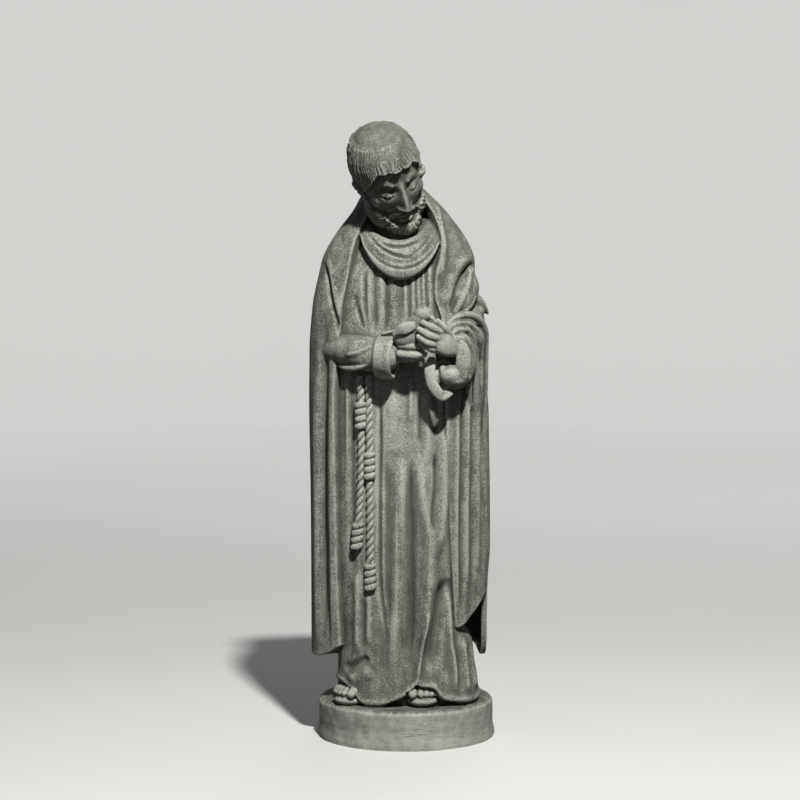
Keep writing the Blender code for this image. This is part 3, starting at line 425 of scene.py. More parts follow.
# The same for the pleats on the chest, which fan out from under the cowl.
CHEST_FOLDS = (
    (4, -4.0, ((-112, 905), (-105, 870), (-93, 827))),
    (3.5, -3.2, ((-104, 870), (-99, 850), (-91, 824))),
    (4, 2.5, ((-97, 949), (-97, 905), (-95, 858))),
    (3.5, -3.2, ((-88, 954), (-87, 890), (-84, 836))),
    (4.5, 2.5, ((-80, 952), (-81, 900), (-79, 836))),
    (5, -4.0, ((-68, 964), (-67, 890), (-65, 816))),
    (6.5, 3.1, ((-54, 964), (-53, 910), (-53, 880), (-54, 826))),
    (3.5, -5.6, ((-41, 962), (-41, 900), (-41, 860), (-43, 816))),
    (8, 3.1, ((-24, 959), (-22, 900), (-22, 870), (-25, 821))),
    (4, 1.9, ((-31, 944), (-30, 905), (-31, 871))),
    (4, -4.0, ((-9, 959), (-10, 890), (-11, 826))),
    (5, 3.1, ((-2, 920), (-1, 890), (0, 850))),
    (3.5, -4.0, ((8, 959), (8, 900), (9, 836))),
    (4.5, 1.9, ((15, 959), (15, 905), (16, 856))),
    (3, -2.0, ((21, 945), (22, 900), (24, 860))),
    (4, 1.6, ((27, 964), (27, 915), (28, 866))),
    (3, -2.0, ((32, 950), (33, 910), (35, 870))),
    (4, 1.6, ((38, 969), (38, 915), (40, 856))),
    (3.5, -3.2, ((44, 974), (45, 910), (48, 846))),
    (5, 2.2, ((51, 979), (51, 915), (54, 846))),
    (4, -4.0, ((61, 984), (62, 900), (66, 826))),
)

# The hem's height above the plinth across the front: it rises over both feet.
HEM = (
    (-178, 6), (-164, 26), (-152, 43), (-138, 45), (-124, 37), (-113, 29), (-105, 14), (-94, 6), (-60, 4),
    (-40, 8), (-24, 14), (0, 25), (14, 37), (24, 49), (34, 44), (56, 41), (66, 35), (73, 24), (82, 16),
    (104, 10), (130, 6), (160, 4),
)
# How far the skirt is drawn in below its hem.
HEM_RECESS = 26.0


def outline(table, z, t, squareness):
    """Points of an upright form and their outward directions, by height and by turn from the front."""
    half, front, back, middle = (column[..., 0] for column in np.split(along(table, z), 4, axis=-1))
    depth = np.where(np.cos(t) > 0, front, back)
    power = 2 / squareness
    sine, cosine = np.sin(t), np.cos(t)
    x = middle + half * np.sign(sine) * np.abs(sine) ** power
    y = -depth * np.sign(cosine) * np.abs(cosine) ** power
    across, deep = sine / half * 150, -cosine / depth * 150
    size = np.hypot(across, deep)
    return np.stack([x, y, z + 0 * x], -1), np.stack([across / size, deep / size, 0 * x], -1)


def front_of_tunic(x, z):
    """How far forward the plain tunic reaches at a place on its front."""
    half, front, _, middle = along(TUNIC, z)
    return -front * (1 - abs((x - middle) / half) ** TUNIC_SQUARENESS) ** (1 / TUNIC_SQUARENESS)


def tunic(grain):
    """The long tunic with its folds, closed at both ends."""
    low, high = TUNIC[0][0], TUNIC[-1][0]
    z = np.linspace(low, high, int((high - low) / grain))[:, None]
    t = np.linspace(-math.pi, math.pi, int(880 / grain), endpoint=False)[None, :]
    z, t = z + 0 * t, t + 0 * z
    points, outward = outline(TUNIC, z, t, TUNIC_SQUARENESS)
    x = points[..., 0]
    ahead = ramp(np.cos(t), 0.05, 0.35)
    lift = ahead * strokes(x, z, SKIRT_FOLDS + CHEST_FOLDS)
    # Below its hem the skirt is drawn in, and it stands out a little along the edge.
    edge = np.where(np.cos(t) > 0.1, along(HEM, x.ravel())[:, 0].reshape(x.shape), 4.0)
    lift += 4 * np.exp(-(((z - edge - 7) / 8) ** 2))
    lift -= HEM_RECESS * (0.2 + 0.8 * ramp(edge, 4.5, 9)) * (1 - ramp(z, edge - 3, edge + 1))
    # Broad folds round the sides and the back of the skirt.
    behind = ramp(-np.cos(t), -0.1, 0.4) * (1 - ramp(z, 100, 420))
    lift += behind * 6 * wavy(t * 9, 0.6)
    return loft(points + outward * lift[..., None])


# The mantle


# The same columns as the tunic's.
MANTLE = (
    (95, 197, 122, 146, -14),
    (440, 197, 122, 150, -15),
    (663, 197, 124, 150, -18),
    (774, 197, 124, 148, -17),
    (850, 191, 120, 146, -18),
    (892, 180, 114, 144, -24),
    (950, 172, 108, 140, -19),
    (984, 166, 102, 136, -16),
    (1030, 142, 88, 122, -14),
    (1075, 108, 70, 100, -14),
    (1117, 76, 52, 78, -22),
    (1132, 64, 44, 66, -26),
)
MANTLE_SQUARENESS = 2.3

# Height, turn of the left front edge and turn of the right one, in degrees from the front.
MANTLE_EDGES = (
    (95, -38, 40), (172, -39, 36), (440, -41, 31), (660, -41, 29), (812, -39, 27), (932, -35, 26),
    (1030, -37, 35),
    (1075, -38, 40), (1132, -40, 44),
)

# Turn from the front, to the left and on round the back, and the height of the mantle's hem there.
MANTLE_HEM = (
    (-334, 172), (-322, 168), (-305, 200), (-284, 238), (-272, 246), (-266, 128), (-240, 112),
    (-180, 98), (-95, 99), (-70, 98), (-52, 108), (-36, 128), (-30, 128),
)

# The mantle's thickness where it hangs free, and where it lies on the tunic.
MANTLE_HANGING = 13.0
MANTLE_BACKED = 60.0

# Millimetres round the mantle for each radian of its turn.
TURN_MM = 170.0

# Folds seen from the front: width, height and path (across, up).
MANTLE_FRONT_FOLDS = (
    (9, -12, ((-178, 880), (-180, 700), (-182, 500), (-181, 300), (-179, 100))),
    (7, 5, ((-197, 760), (-199, 600), (-198, 400), (-197, 200), (-197, 90))),
    (12, 8, ((-152, 800), (-160, 600), (-160, 400), (-158, 200), (-156, 90))),
    (4, -4, ((-170, 420), (-169, 250), (-168, 110))),
    (5, 4, ((-146, 790), (-146, 600), (-146, 400), (-142, 240), (-140, 130))),
    (4, -8, ((-181, 975), (-172, 950), (-162, 890), (-150, 845), (-146, 800))),
    (10, 6, ((-170, 990), (-158, 930), (-148, 870), (-144, 830))),
    (5, -12, ((152, 972), (128, 946), (112, 916), (103, 884), (100, 855))),
    (13, 10, ((146, 992), (116, 966), (96, 926), (86, 870))),
    (8, 6, ((179, 720), (181, 560), (181, 400), (181, 250))),
    (4, -9, ((168, 760), (168, 560), (168, 400), (169, 250))),
    (7, 7, ((157, 770), (157, 560), (156, 400), (155, 235))),
    (4, -9, ((146, 760), (145, 560), (143, 400), (143, 225))),
    (7, 7, ((135, 740), (134, 560), (132, 400), (132, 210))),
    (4, -9, ((124, 700), (122, 560), (120, 400), (121, 195))),
    (6, 6, ((112, 680), (112, 540), (110, 400), (112, 185))),
    (5, 4, ((60, 1110), (76, 1050), (88, 985))),
    (9, 6, ((58, 1108), (72, 1050), (80, 990), (76, 930))),
)

# Folds round the side and back: width, height and path (millimetres round from the front, up).
MANTLE_BACK_FOLDS = (
    (13, -10, ((-300, 930), (-312, 700), (-305, 400), (-310, 95))),
    (17, 8, ((-340, 960), (-345, 700), (-338, 400), (-342, 95))),
    (12, -9, ((-382, 900), (-376, 700), (-372, 400), (-376, 95))),
    (18, 9, ((-415, 930), (-410, 700), (-412, 400), (-408, 95))),
    (13, -11, ((-452, 990), (-448, 700), (-452, 400), (-455, 95))),
    (20, 9, ((-492, 900), (-494, 600), (-500, 300), (-498, 95))),
    (14, -10, ((-540, 880), (-536, 600), (-545, 300), (-541, 95))),
    (20, 9, ((-582, 900), (-586, 600), (-588, 300), (-590, 95))),
    (12, -11, ((-628, 990), (-630, 700), (-626, 400), (-632, 95))),
    (18, 9, ((-668, 930), (-672, 700), (-674, 400), (-670, 95))),
    (12, -9, ((-712, 900), (-708, 700), (-715, 400), (-712, 95))),
    (16, 8, ((-748, 900), (-752, 700), (-756, 400), (-752, 95))),
    (10, -8, ((-785, 800), (-790, 600), (-790, 400), (-788, 110))),
)


def mantle(grain):
    """The mantle, from its left front edge round the back to its right one."""
    rows = int(1000 / grain)
    columns = int(920 / grain)
    share = np.linspace(0, 1, columns)[None, :] + np.zeros((rows, 1))
    rise = np.linspace(0, 1, rows)[:, None] + np.zeros((1, columns))
    # The turn depends on the height, and the hem's height on the turn, so the two are settled together.
    degrees = -38 - share * 278
    for _ in range(4):
        hem = along(MANTLE_HEM, degrees)[..., 0]
        z = hem + (MANTLE[-1][0] - hem) * rise
        left, right = (e[..., 0] for e in np.split(along(MANTLE_EDGES, z), 2, axis=-1))
        degrees = left - share * (360 - (right - left))
    t = np.radians(degrees)
    points, outward = outline(MANTLE, z, t, MANTLE_SQUARENESS)
    ahead = ramp(np.cos(t), -0.12, 0.1)
    lift = ahead * strokes(points[..., 0], z, MANTLE_FRONT_FOLDS)
    lift += (1 - ahead) * strokes(t * TURN_MM, z, MANTLE_BACK_FOLDS)
    hanging = ramp(-degrees, 218, 250) * (1 - ramp(z, 290, 400))
    thick = MANTLE_BACKED + (MANTLE_HANGING - MANTLE_BACKED) * hanging
    thick = thick * (1 - 0.6 * ramp(z, 990, 1110))
    outer = points + outward * lift[..., None]
    inner = points + outward * np.minimum(lift * 0.6, 4)[..., None] - outward * thick[..., None]
    return slab(outer, inner)


# The cowl and the hood


# Creases across the front of the cowl: turn, place across its width, slant, reach and depth.
COWL_CREASES = ((0.08, 0.22, -0.02, 0.6, 8), (-0.35, 0.40, 0.20, 0.6, 8), (0.62, 0.44, -0.22, 0.45, 3))


def cowl(grain):
    """A soft collar: a closed band whose section is read at each turn round the neck."""
    sides = int(560 / grain)
    steps = int(250 / grain)
    t = np.linspace(-math.pi, math.pi, sides, endpoint=False)[:, None]
    s = np.linspace(0, 2 * math.pi, steps, endpoint=False)[None, :]
    t, s = t + 0 * s, s + 0 * t
    ahead = 0.5 + 0.5 * np.cos(t)
    width = (np.cos(s) + 1) / 2
    # The inner rim sits at the neck, and the outer one hangs low on the breast.
    inner = np.stack([-18 + 56 * np.sin(t), 60 - 150 * ahead**0.8, 1088 - 72 * ahead**1.2])
    outer = np.stack([-11 + 86 * np.sin(t), 96 - 212 * ahead**0.5, 1086 - 153 * ahead**1.65])
    base = inner + (outer - inner) * width
    # The cloth lies in a roll at the neck and a broad fall below it, and its outer edge is turned under.
    top = np.clip(np.sin(s), 0, 1)
    bulge = 15 * np.sign(np.sin(s)) * np.abs(np.sin(s)) ** 0.6
    bulge -= 6 * top * ahead * np.exp(-(((width - 0.78 - 0.03 * np.sin(2 * t)) / 0.035) ** 2))
    bulge -= 3 * top * ahead * np.exp(-(((width - 0.62) / 0.09) ** 2))
    for turn, at, slant, reach, depth in COWL_CREASES:
        line = np.exp(-(((width - at - slant * (t - turn)) / 0.04) ** 2))
        bulge -= depth * top * line * np.exp(-(((t - turn) / reach) ** 4))
    lean = 0.45 + 0.4 * ahead
    x = base[0] + bulge * lean * np.sin(t)
    y = base[1] - bulge * lean * np.cos(t)
    z = base[2] + bulge * np.sqrt(1 - lean**2)
    rings = np.stack([x, y, z], -1)
    rows, columns = rings.shape[:2]
    faces = [tuple(f) for f in grid_faces(rows, columns, True)]
    last = (rows - 1) * columns
    faces += [(last + c, last + (c + 1) % columns, (c + 1) % columns, c) for c in range(columns)]
    return rings.reshape(-1, 3), [tuple(reversed(f)) for f in faces]


def hood():
    """The hood, thrown back: a soft pouch that hangs from a rolled rim behind the neck."""
    return [
        blob((-14, 92, 1012), (96, 54, 92), (18, 0, 0)),
        blob((-14, 122, 950), (68, 38, 74), (12, 0, 0)),
        blob((-14, 138, 902), (40, 24, 46), (8, 0, 0)),
        blob((-14, 72, 1082), (76, 48, 34), (8, 0, 0)),
        limb(((-92, 36, 1066), (-74, 78, 1088), (-14, 112, 1100), (46, 78, 1088), (66, 36, 1066)),
             (16, 19, 20, 19, 16)),
        limb(((-96, 92, 1030), (-66, 140, 985), (-14, 160, 958), (38, 140, 985), (68, 92, 1030)),
             (10, 13, 14, 13, 10)),
        limb(((-78, 126, 975), (-46, 154, 930), (-14, 164, 912), (18, 154, 930), (50, 126, 975)),
             (7, 9, 10, 9, 7)),
    ]


# The head, which is shaped upright about its own middle and then set in place


HEAD_PLACE = (-41, -84, 1165)
HEAD_NOD = 36.0
HEAD_TILT = -20.0
HEAD_TURN = 15.0


def head_frame():
    nod = Matrix.Rotation(math.radians(HEAD_NOD), 4, "X")
    tilt = Matrix.Rotation(math.radians(HEAD_TILT), 4, "Y")
    turn = Matrix.Rotation(math.radians(HEAD_TURN), 4, "Z")
    return np.array(Matrix.Translation(HEAD_PLACE) @ turn @ tilt @ nod)


def mirrored(build):
    """A pair of shapes, built for one side and for the other."""
    return [build(1), build(-1)]


def skull_masses():
    """The head without its features: brain case, face and jaw."""
    masses = [
        blob((0, 12, 26), (68, 88, 84)),
        blob((0, -18, -16), (62, 68, 78)),
        blob((0, -28, -68), (48, 52, 44)),
        blob((0, -50, -84), (34, 36, 28)),
        blob((0, 30, -34), (56, 56, 60)),
    ]
    masses += mirrored(lambda s: blob((s * 40, -44, -24), (21, 20, 24)))
    masses += mirrored(lambda s: blob((s * 38, -22, -66), (20, 40, 34)))
    return masses


# Width, height and path (across, up) of the lines of the face. The eyes are half way down the head, and the
# nose and the mouth are a third of the way further down each, as in any drawing book.
FACE_LINES = (
    (7, 5, ((10, 17), (30, 25), (54, 13))),
    (1.8, -2.5, ((15, 3), (30, 9), (47, 3))),
    (2.0, -3.5, ((16, -5), (31, -9), (46, -4))),
    (3.4, 3, ((0, -62), (8, -60.5), (20, -63))),
    (4.2, 5, ((0, -71), (8, -70.5), (17, -68))),
    (1.8, -4.5, ((0, -66), (9, -65), (24, -66))),
    (5, -2, ((15, -40), (23, -48), (28, -56))),
)

# Place, half width, half height and height of its soft swellings and hollows.
FACE_MOUNDS = (
    (17, 5, 9, 11, -8),
    (33, 1, 16, 11, -8),
    (31, -1, 14, 8, 8),
    (12, -37, 6.5, 6, 8),
    (44, -20, 15, 12, 2),
    (0, -62, 24, 16, 6),
    (0, -81, 14, 5, -4),
    (0, -97, 19, 14, 5),
)

NOSE_TOP = 16.0
NOSE_TIP = -38.0


def face_relief(points):
    """How far the face's features stand out towards -Y."""
    x, _, z = points.T
    side = np.abs(x)
    lift = strokes(side, z, FACE_LINES)
    for middle, height, half_width, half_height, amount in FACE_MOUNDS:
        lift += amount * np.exp(-(((side - middle) / half_width) ** 2) - ((z - height) / half_height) ** 2)
    down = np.clip((NOSE_TOP - z) / (NOSE_TOP - NOSE_TIP), 0, 1)
    nose = (5 + 17 * down**1.15) * np.exp(-((side / (6.5 + 3.5 * down)) ** 2.4))
    lift += nose * ramp(z, NOSE_TIP - 7, NOSE_TIP + 1) * (1 - ramp(z, NOSE_TOP - 2, NOSE_TOP + 16))
    return lift


def ear():
    """The one ear that the hair leaves bare."""
    path = ((62, -8, -32), (69, -15, -14), (73, -11, 5), (74, 3, 11), (72, 11, -2), (65, 3, -22))
    return [limb(path, 4.4, facing=(1, 0, 0)), blob((63, -3, -10), (6, 12, 21))]


# Turn from the front, in degrees, and height of the beard's upper edge.
BEARD_EDGE = (
    (0, -80), (10, -79), (20, -72), (27, -60), (38, -52), (50, -44), (63, -28), (76, -6), (90, 4),
    (110, 2), (180, 0),
)

# Width, height and path of the moustache.
MOUSTACHE = ((6.0, 7.0, ((3, -51), (12, -50.5), (22, -54), (31, -61), (37, -71))),)


def hair_masks(points):
    """How far each point of the head belongs to the hair and to the beard, and where it lies on them."""
    x, y, z = points.T
    angle = np.arctan2(np.abs(x), -y)
    away = np.degrees(np.arctan2(np.hypot(x / 69, (y - 12) / 89), (z - 26) / 84))
    round_crown = np.arctan2(x, -(y - 18))
    flow = round_crown + 0.30 * np.sin(2 * round_crown + 0.4) * ramp(away, 45, 95)
    flow += 0.06 * np.sin(0.13 * away + 2 * round_crown) + 0.025 * np.sin(0.31 * away + 9 * round_crown)
    clumps = np.abs(np.sin(6.5 * flow + 1.1 * np.sin(2.3 * flow) + 0.02 * away)) ** 0.8
    hairline = 50 - np.where(x > 0, 34, 64) * ramp(angle, 0.45, 1.3)
    hairline -= np.where(x > 0, 66, 56) * ramp(angle, 1.5, 2.4)
    hairline -= 4 * (clumps - 0.5)
    # The bald crown lies towards the back and to the left.
    from_crown = away + 13 * np.cos(round_crown) + 6 * np.sin(round_crown)
    hair = ramp(z, hairline - 1.5, hairline + 3.5) * ramp(from_crown, 38, 50)
    # The beard's upper edge, by the turn from the front: below the lip, up to the cheek and to the ear.
    edge = along(BEARD_EDGE, np.degrees(angle))[..., 0]
    beard = ramp(edge - z, -1, 6) * ramp(-y, -34, 0)
    return hair, beard, away, flow, clumps


def head_relief(points):
    """The thickness of the hair, the beard and the moustache, with their locks."""
    x, y, z = points.T
    hair, beard, away, flow, clumps = hair_masks(points)
    strands = np.abs(np.sin(24 * flow + 3.4 * np.sin(4.3 * flow + 0.05 * away) + 0.04 * away))
    locks = 0.7 * clumps + 0.4 * strands - 0.6
    fine = np.sin(61 * flow + 4 * np.sin(7 * flow + 0.07 * away))
    lift = hair * (5.5 + 2.5 * ramp(away, 50, 85) + (3.6 * locks + 0.6 * fine) * ramp(away, 43, 62))
    # The beard's locks spread from the mouth, down over the chin and back along the jaw.
    spread = np.arctan2(x, -(z + 40))
    reach = np.hypot(x, z + 40)
    wave = spread + 0.07 * np.sin(0.16 * reach + 3 * spread) + 0.03 * np.sin(0.37 * reach)
    curls = 0.3 * np.abs(np.sin(9 * wave + 0.5 * np.sin(4 * wave))) + 0.7 * np.abs(np.sin(23 * wave))
    lift += beard * (8.5 + 4 * ramp(-z, 80, 105) + 2.9 * (curls - 0.6))
    side = np.abs(x)
    hairs = 1 + 0.10 * np.sin(0.9 * side + 0.5 * z)
    lift += strokes(side, z, MOUSTACHE) * hairs * (y < -40)
    return lift


def head(grain):
    made = fused("skull", skull_masses(), grain, 8)
    points, normals = points_of(made), normals_of(made)
    points[:, 1] -= face_relief(points) * ramp(-normals[:, 1], 0.1, 0.6) * (points[:, 1] < -20)
    bare = (points, shape_of(made)[1])
    made = fused("head", [bare] + ear(), grain, 2)
    push(made, head_relief(points_of(made)))
    made.data.transform(Matrix(head_frame()))
    return made


# The arms, the hands and the bird


def left_sleeve():
    """The arm that comes out of the mantle on the left, with its turned-back cuff."""
    return [
        limb(((-172, -24, 776), (-138, -78, 777), (-96, -120, 774), (-50, -140, 769)), (32, 35, 37, 38),
             squash=0.95),
        limb(((-150, -90, 748), (-128, -120, 741), (-100, -146, 744), (-76, -160, 756)), (4, 7, 6, 3)),
        limb(((-146, -104, 774), (-122, -138, 772), (-98, -156, 778), (-78, -164, 790)), (4, 7, 6, 3)),
        limb(((-140, -96, 794), (-116, -132, 796), (-92, -150, 800)), (4, 6, 3)),
        open_cuff((-62, -137, 769), (-23, -148, 766), 48, 8, 0.92),
    ]


def right_sleeve():
    """The arm on the right, under cloth that runs over it in ridges, and the wide mouth of its sleeve."""
    return [
        limb(((92, -122, 796), (122, -102, 806), (143, -76, 804), (150, -58, 770), (152, -48, 690),
              (152, -48, 600)), (24, 30, 29, 24, 20, 14)),
        blob((116, -66, 780), (50, 70, 52), (0, 14, -20)),
        limb(((90, -148, 838), (108, -136, 850), (124, -122, 857), (149, -98, 852), (167, -74, 834),
              (174, -56, 806), (174, -48, 762), (173, -40, 690), (171, -28, 600)),
             (5, 8, 8.5, 8.5, 8.5, 8.5, 8, 8, 5)),
        limb(((88, -154, 824), (104, -146, 836), (121, -134, 839), (143, -110, 831), (158, -90, 808),
              (163, -74, 768), (163, -58, 690), (161, -46, 600)), (5, 7, 7.5, 8, 8, 7.5, 7, 5)),
        limb(((96, -158, 812), (112, -152, 826), (128, -138, 826), (142, -120, 808), (150, -106, 776),
              (153, -92, 730), (153, -72, 660), (152, -56, 590)), (6, 7, 8, 8, 7.5, 7, 7, 5)),
        limb(((104, -156, 806), (120, -150, 808), (133, -138, 792), (138, -126, 756), (137, -110, 716),
              (140, -78, 650)), (10, 11, 11, 10, 8, 5)),
        # The mouth of the sleeve: a near wall like a small bag, and the turned edge of the far one.
        limb(((114, -136, 818), (128, -128, 792), (131, -122, 756), (124, -122, 728)), (12, 20, 24, 22)),
        limb(((106, -154, 812), (121, -158, 786), (124, -160, 757), (119, -160, 728)), (8, 14, 17, 16),
             squash=0.72),
        limb(((79, -162, 744), (84, -166, 729), (97, -166, 719), (113, -162, 718), (130, -144, 723)),
             (7, 9, 11, 12, 11)),
        blob((97, -157, 728), (25, 25, 22)),
        limb(((55, -158, 758), (51, -166, 738), (54, -171, 716), (63, -173, 698), (78, -170, 684),
              (94, -156, 690)), (11, 12.5, 12.5, 12.5, 12, 9), squash=0.42, facing=(-0.35, -1, 0.1)),
        blob((64, -142, 722), (14, 22, 30), (0, 12, 0)),
        blob((84, -124, 728), (26, 20, 36), (0, 14, 0)),
        blob((108, -104, 736), (40, 34, 42)),
    ]


def right_upper_arm():
    """The cloth on the upper arm on the right, and a fold that juts out behind the elbow."""
    return [
        limb(((138, -38, 948), (132, -48, 920), (122, -60, 892), (108, -72, 862)), (14, 30, 31, 22)),
        limb(((141, -58, 950), (134, -76, 918), (122, -87, 890), (108, -94, 862)), (5, 9, 9, 6)),
        limb(((150, -44, 936), (150, -58, 908), (140, -72, 880), (122, -86, 856)), (5, 9, 9, 6)),
        limb(((136, -34, 902), (157, -20, 884), (172, -9, 867), (181, -1, 856)), (12, 13, 9, 3.5)),
        blob((150, -20, 860), (24, 22, 20)),
    ]


def open_cuff(start, end, radius, wall, squash):
    """A short open cuff, bored out from its far end."""
    start, end = np.array(start, float), np.array(end, float)
    axis = end - start
    length = np.linalg.norm(axis)
    axis /= length
    side = np.cross(axis, (0, 0, 1.0))
    side /= np.linalg.norm(side)
    up = np.cross(side, axis)
    profile = [(0, 0.55), (0, 0.86), (0.06, 0.97), (0.2, 1.0), (0.8, 1.03), (0.94, 1.0), (1.0, 0.96)]
    lip = 1 - wall / radius
    profile += [(0.97, lip), (0.5, lip - 0.03), (0.3, lip - 0.08), (0.28, 0.4)]
    stations = through([(s * length, r * radius, 0) for s, r in profile], 40)
    turn = np.linspace(0, 2 * math.pi, 40, endpoint=False)[:, None]
    rings = [
        start + axis * d + r * (np.cos(turn) * up + squash * np.sin(turn) * side)
        for d, r, _ in stations
    ]
    return loft(np.array(rings))


def finger(knuckle, middle, tip, thickness):
    return limb((knuckle, middle, tip), (thickness * 1.08, thickness, thickness * 0.8), grain=2.0)


def hands():
    right = [
        limb(((70, -181, 808), (84, -178, 797), (106, -154, 787)), (25, 26, 20), squash=0.5,
             facing=(0.3, -1, 0.25)),
        finger((74, -182, 822), (54, -193, 833), (36, -194, 842), 8.0),
        finger((69, -186, 808), (48, -199, 816), (28, -197, 828), 8.4),
        finger((65, -185, 794), (46, -197, 800), (27, -195, 812), 8.2),
        finger((66, -180, 783), (48, -190, 789), (31, -189, 801), 7.8),
        finger((92, -172, 818), (80, -182, 834), (68, -182, 845), 7.6),
    ]
    left = [
        blob((-20, -150, 780), (34, 17, 26), (0, 6, 0)),
        limb(((-60, -142, 774), (-30, -148, 778)), (25, 24), squash=0.8),
        finger((-10, -166, 792), (14, -176, 791), (37, -174, 792), 8.4),
        finger((-12, -168, 774), (14, -178, 772), (39, -174, 774), 8.8),
        finger((-12, -154, 766), (10, -160, 764), (28, -156, 766), 7.8),
    ]
    return right + left


def bird():
    return [
        blob((6, -160, 815), (37, 27, 30), (0, -18, 0)),
        limb(((18, -168, 830), (29, -175, 846), (36, -179, 857)), (21, 19, 17)),
        blob((37, -180, 860), (19, 18, 18.5)),
        limb(((49, -187, 857), (58, -192, 850), (65, -195, 842)), (6.5, 4.5, 2)),
        limb(((-8, -158, 822), (-28, -158, 820), (-45, -158, 817)), (15, 12, 9), squash=0.45,
             facing=(0, 0.3, 1)),
        limb(((22, -189, 838), (-2, -191, 830), (-26, -182, 817)), (8, 13, 4), squash=0.42),
        limb(((22, -137, 838), (-2, -133, 830), (-26, -142, 817)), (8, 13, 4), squash=0.42),
    ]


# The knotted cord


KNOT_RADIUS = 13.5
KNOT_LENGTH = 62.0
# How far the yarns climb in a full turn.
TWIST = 36.0

# Place across, top, and the heights of the two knots' lower ends.
CORD_STRANDS = (((-99, -98, -108), 724, (607, 343)), ((-81, -79, -78), 724, (497, 254)))


def cord_strand(strand):
    """One strand: two yarns twisted round each other, with barrel knots of four turns each."""
    places, top, knots = strand
    low = knots[-1]
    z = np.arange(top, low, -0.9)
    x = along(((low, places[2]), ((top + low) / 2, places[1]), (top + 1, places[0])), z)[:, 0]
    turn = np.linspace(0, 2 * math.pi, 40, endpoint=False)
    up, round_ = z[:, None], turn[None, :]
    # Two yarns: a lobe every half turn.
    radius = 3.9 + 4.5 * np.abs(np.cos(round_ - up * 2 * math.pi / TWIST)) ** 0.55
    for end in knots:
        # A knot is cut off square below, where the cord comes out of it, and rounded off above.
        inside = ramp(z, end, end + 1.2) * (1 - ramp(z, end + KNOT_LENGTH - 5, end + KNOT_LENGTH))
        wrap = math.pi * (up - end - 2.6 * np.sin(round_)) / (KNOT_LENGTH / 4)
        coil = KNOT_RADIUS - 5.0 + 5.2 * np.abs(np.sin(wrap)) ** 0.45
        hollow = ramp(up, end - 7, end - 1) * (1 - ramp(up, end - 0.5, end))
        radius = radius * (1 - 0.35 * hollow) + inside[:, None] * (coil - radius)
    y = np.array([front_of_tunic(a, h) for a, h in zip(x, z)]) - 4
    across, ahead = x[:, None] + radius * np.sin(turn), y[:, None] - radius * np.cos(turn)
    rings = np.stack([across, ahead, up + 0 * radius], -1)
    # The lower end is hollow: the last rings turn back up inside it.
    middle = rings[-1].mean(0)
    inward = rings[-1] - middle
    turned_in = [middle + inward * share + np.array((0, 0, rise))
                 for share, rise in ((0.75, 0.4), (0.6, 5.0))]
    return loft(np.concatenate([rings, np.array(turned_in)])[::-1])


# The feet


# Each toe's place across, its radius and how far it falls short of the sole.
TOES = ((-22.5, 9.8, 11), (-4.5, 6.9, 9), (7.5, 6.6, 11), (18.5, 6.3, 15), (28.5, 5.8, 21))

# Place of the instep, heading in degrees, reach ahead of it, and 1 where the big toe is on the left.
FEET = (((-119, -92, -2), -38, 42, -1), ((36, -113, 0), 2, 42, 1))


def foot(middle, heading, length, toes):
    """Five toes over the thick sole of a sandal. toes is 1 if the big toe is on the left."""
    rotation = np.array(Matrix.Rotation(math.radians(heading), 3, "Z"))

    def place(x, y, z):
        return tuple(np.array(middle, float) + rotation @ np.array((x, y, z), float))

    up = (0, 0, 1)
    sole = limb((place(0, 60, 12), place(0, 0, 12), place(0, 33 - length, 12)), (30, 35, 33),
                squash=0.40, facing=up)
    instep = limb((place(0, 50, 40), place(0, 16, 38), place(0, -2, 32)), (28, 27, 20),
                  squash=0.75, facing=up)
    shapes = [sole, instep]
    for across, width, short in TOES:
        x, reach = toes * across, length - short
        path = (place(x * 0.8, 4, 34), place(x, -reach * 0.5, 35), place(x, -reach, 28))
        shapes.append(limb(path, (width, width * 1.05, width * 0.95), grain=2.0))
    return shapes


# The pieces


def on_plinth(made):
    """Scales a shape from the figure's millimetres and stands it on the plinth."""
    made.data.transform(
        Matrix.Translation((0, 0, PLINTH_HEIGHT)) @ Matrix.Scale(FIGURE_HEIGHT / MODELLED_HEIGHT, 4)
    )
    return made


# Courses of the plinth's wall, rings of its top and their width.
PLINTH_COURSES = 30
PLINTH_RINGS = 24
PLINTH_RING_WIDTH = 0.007


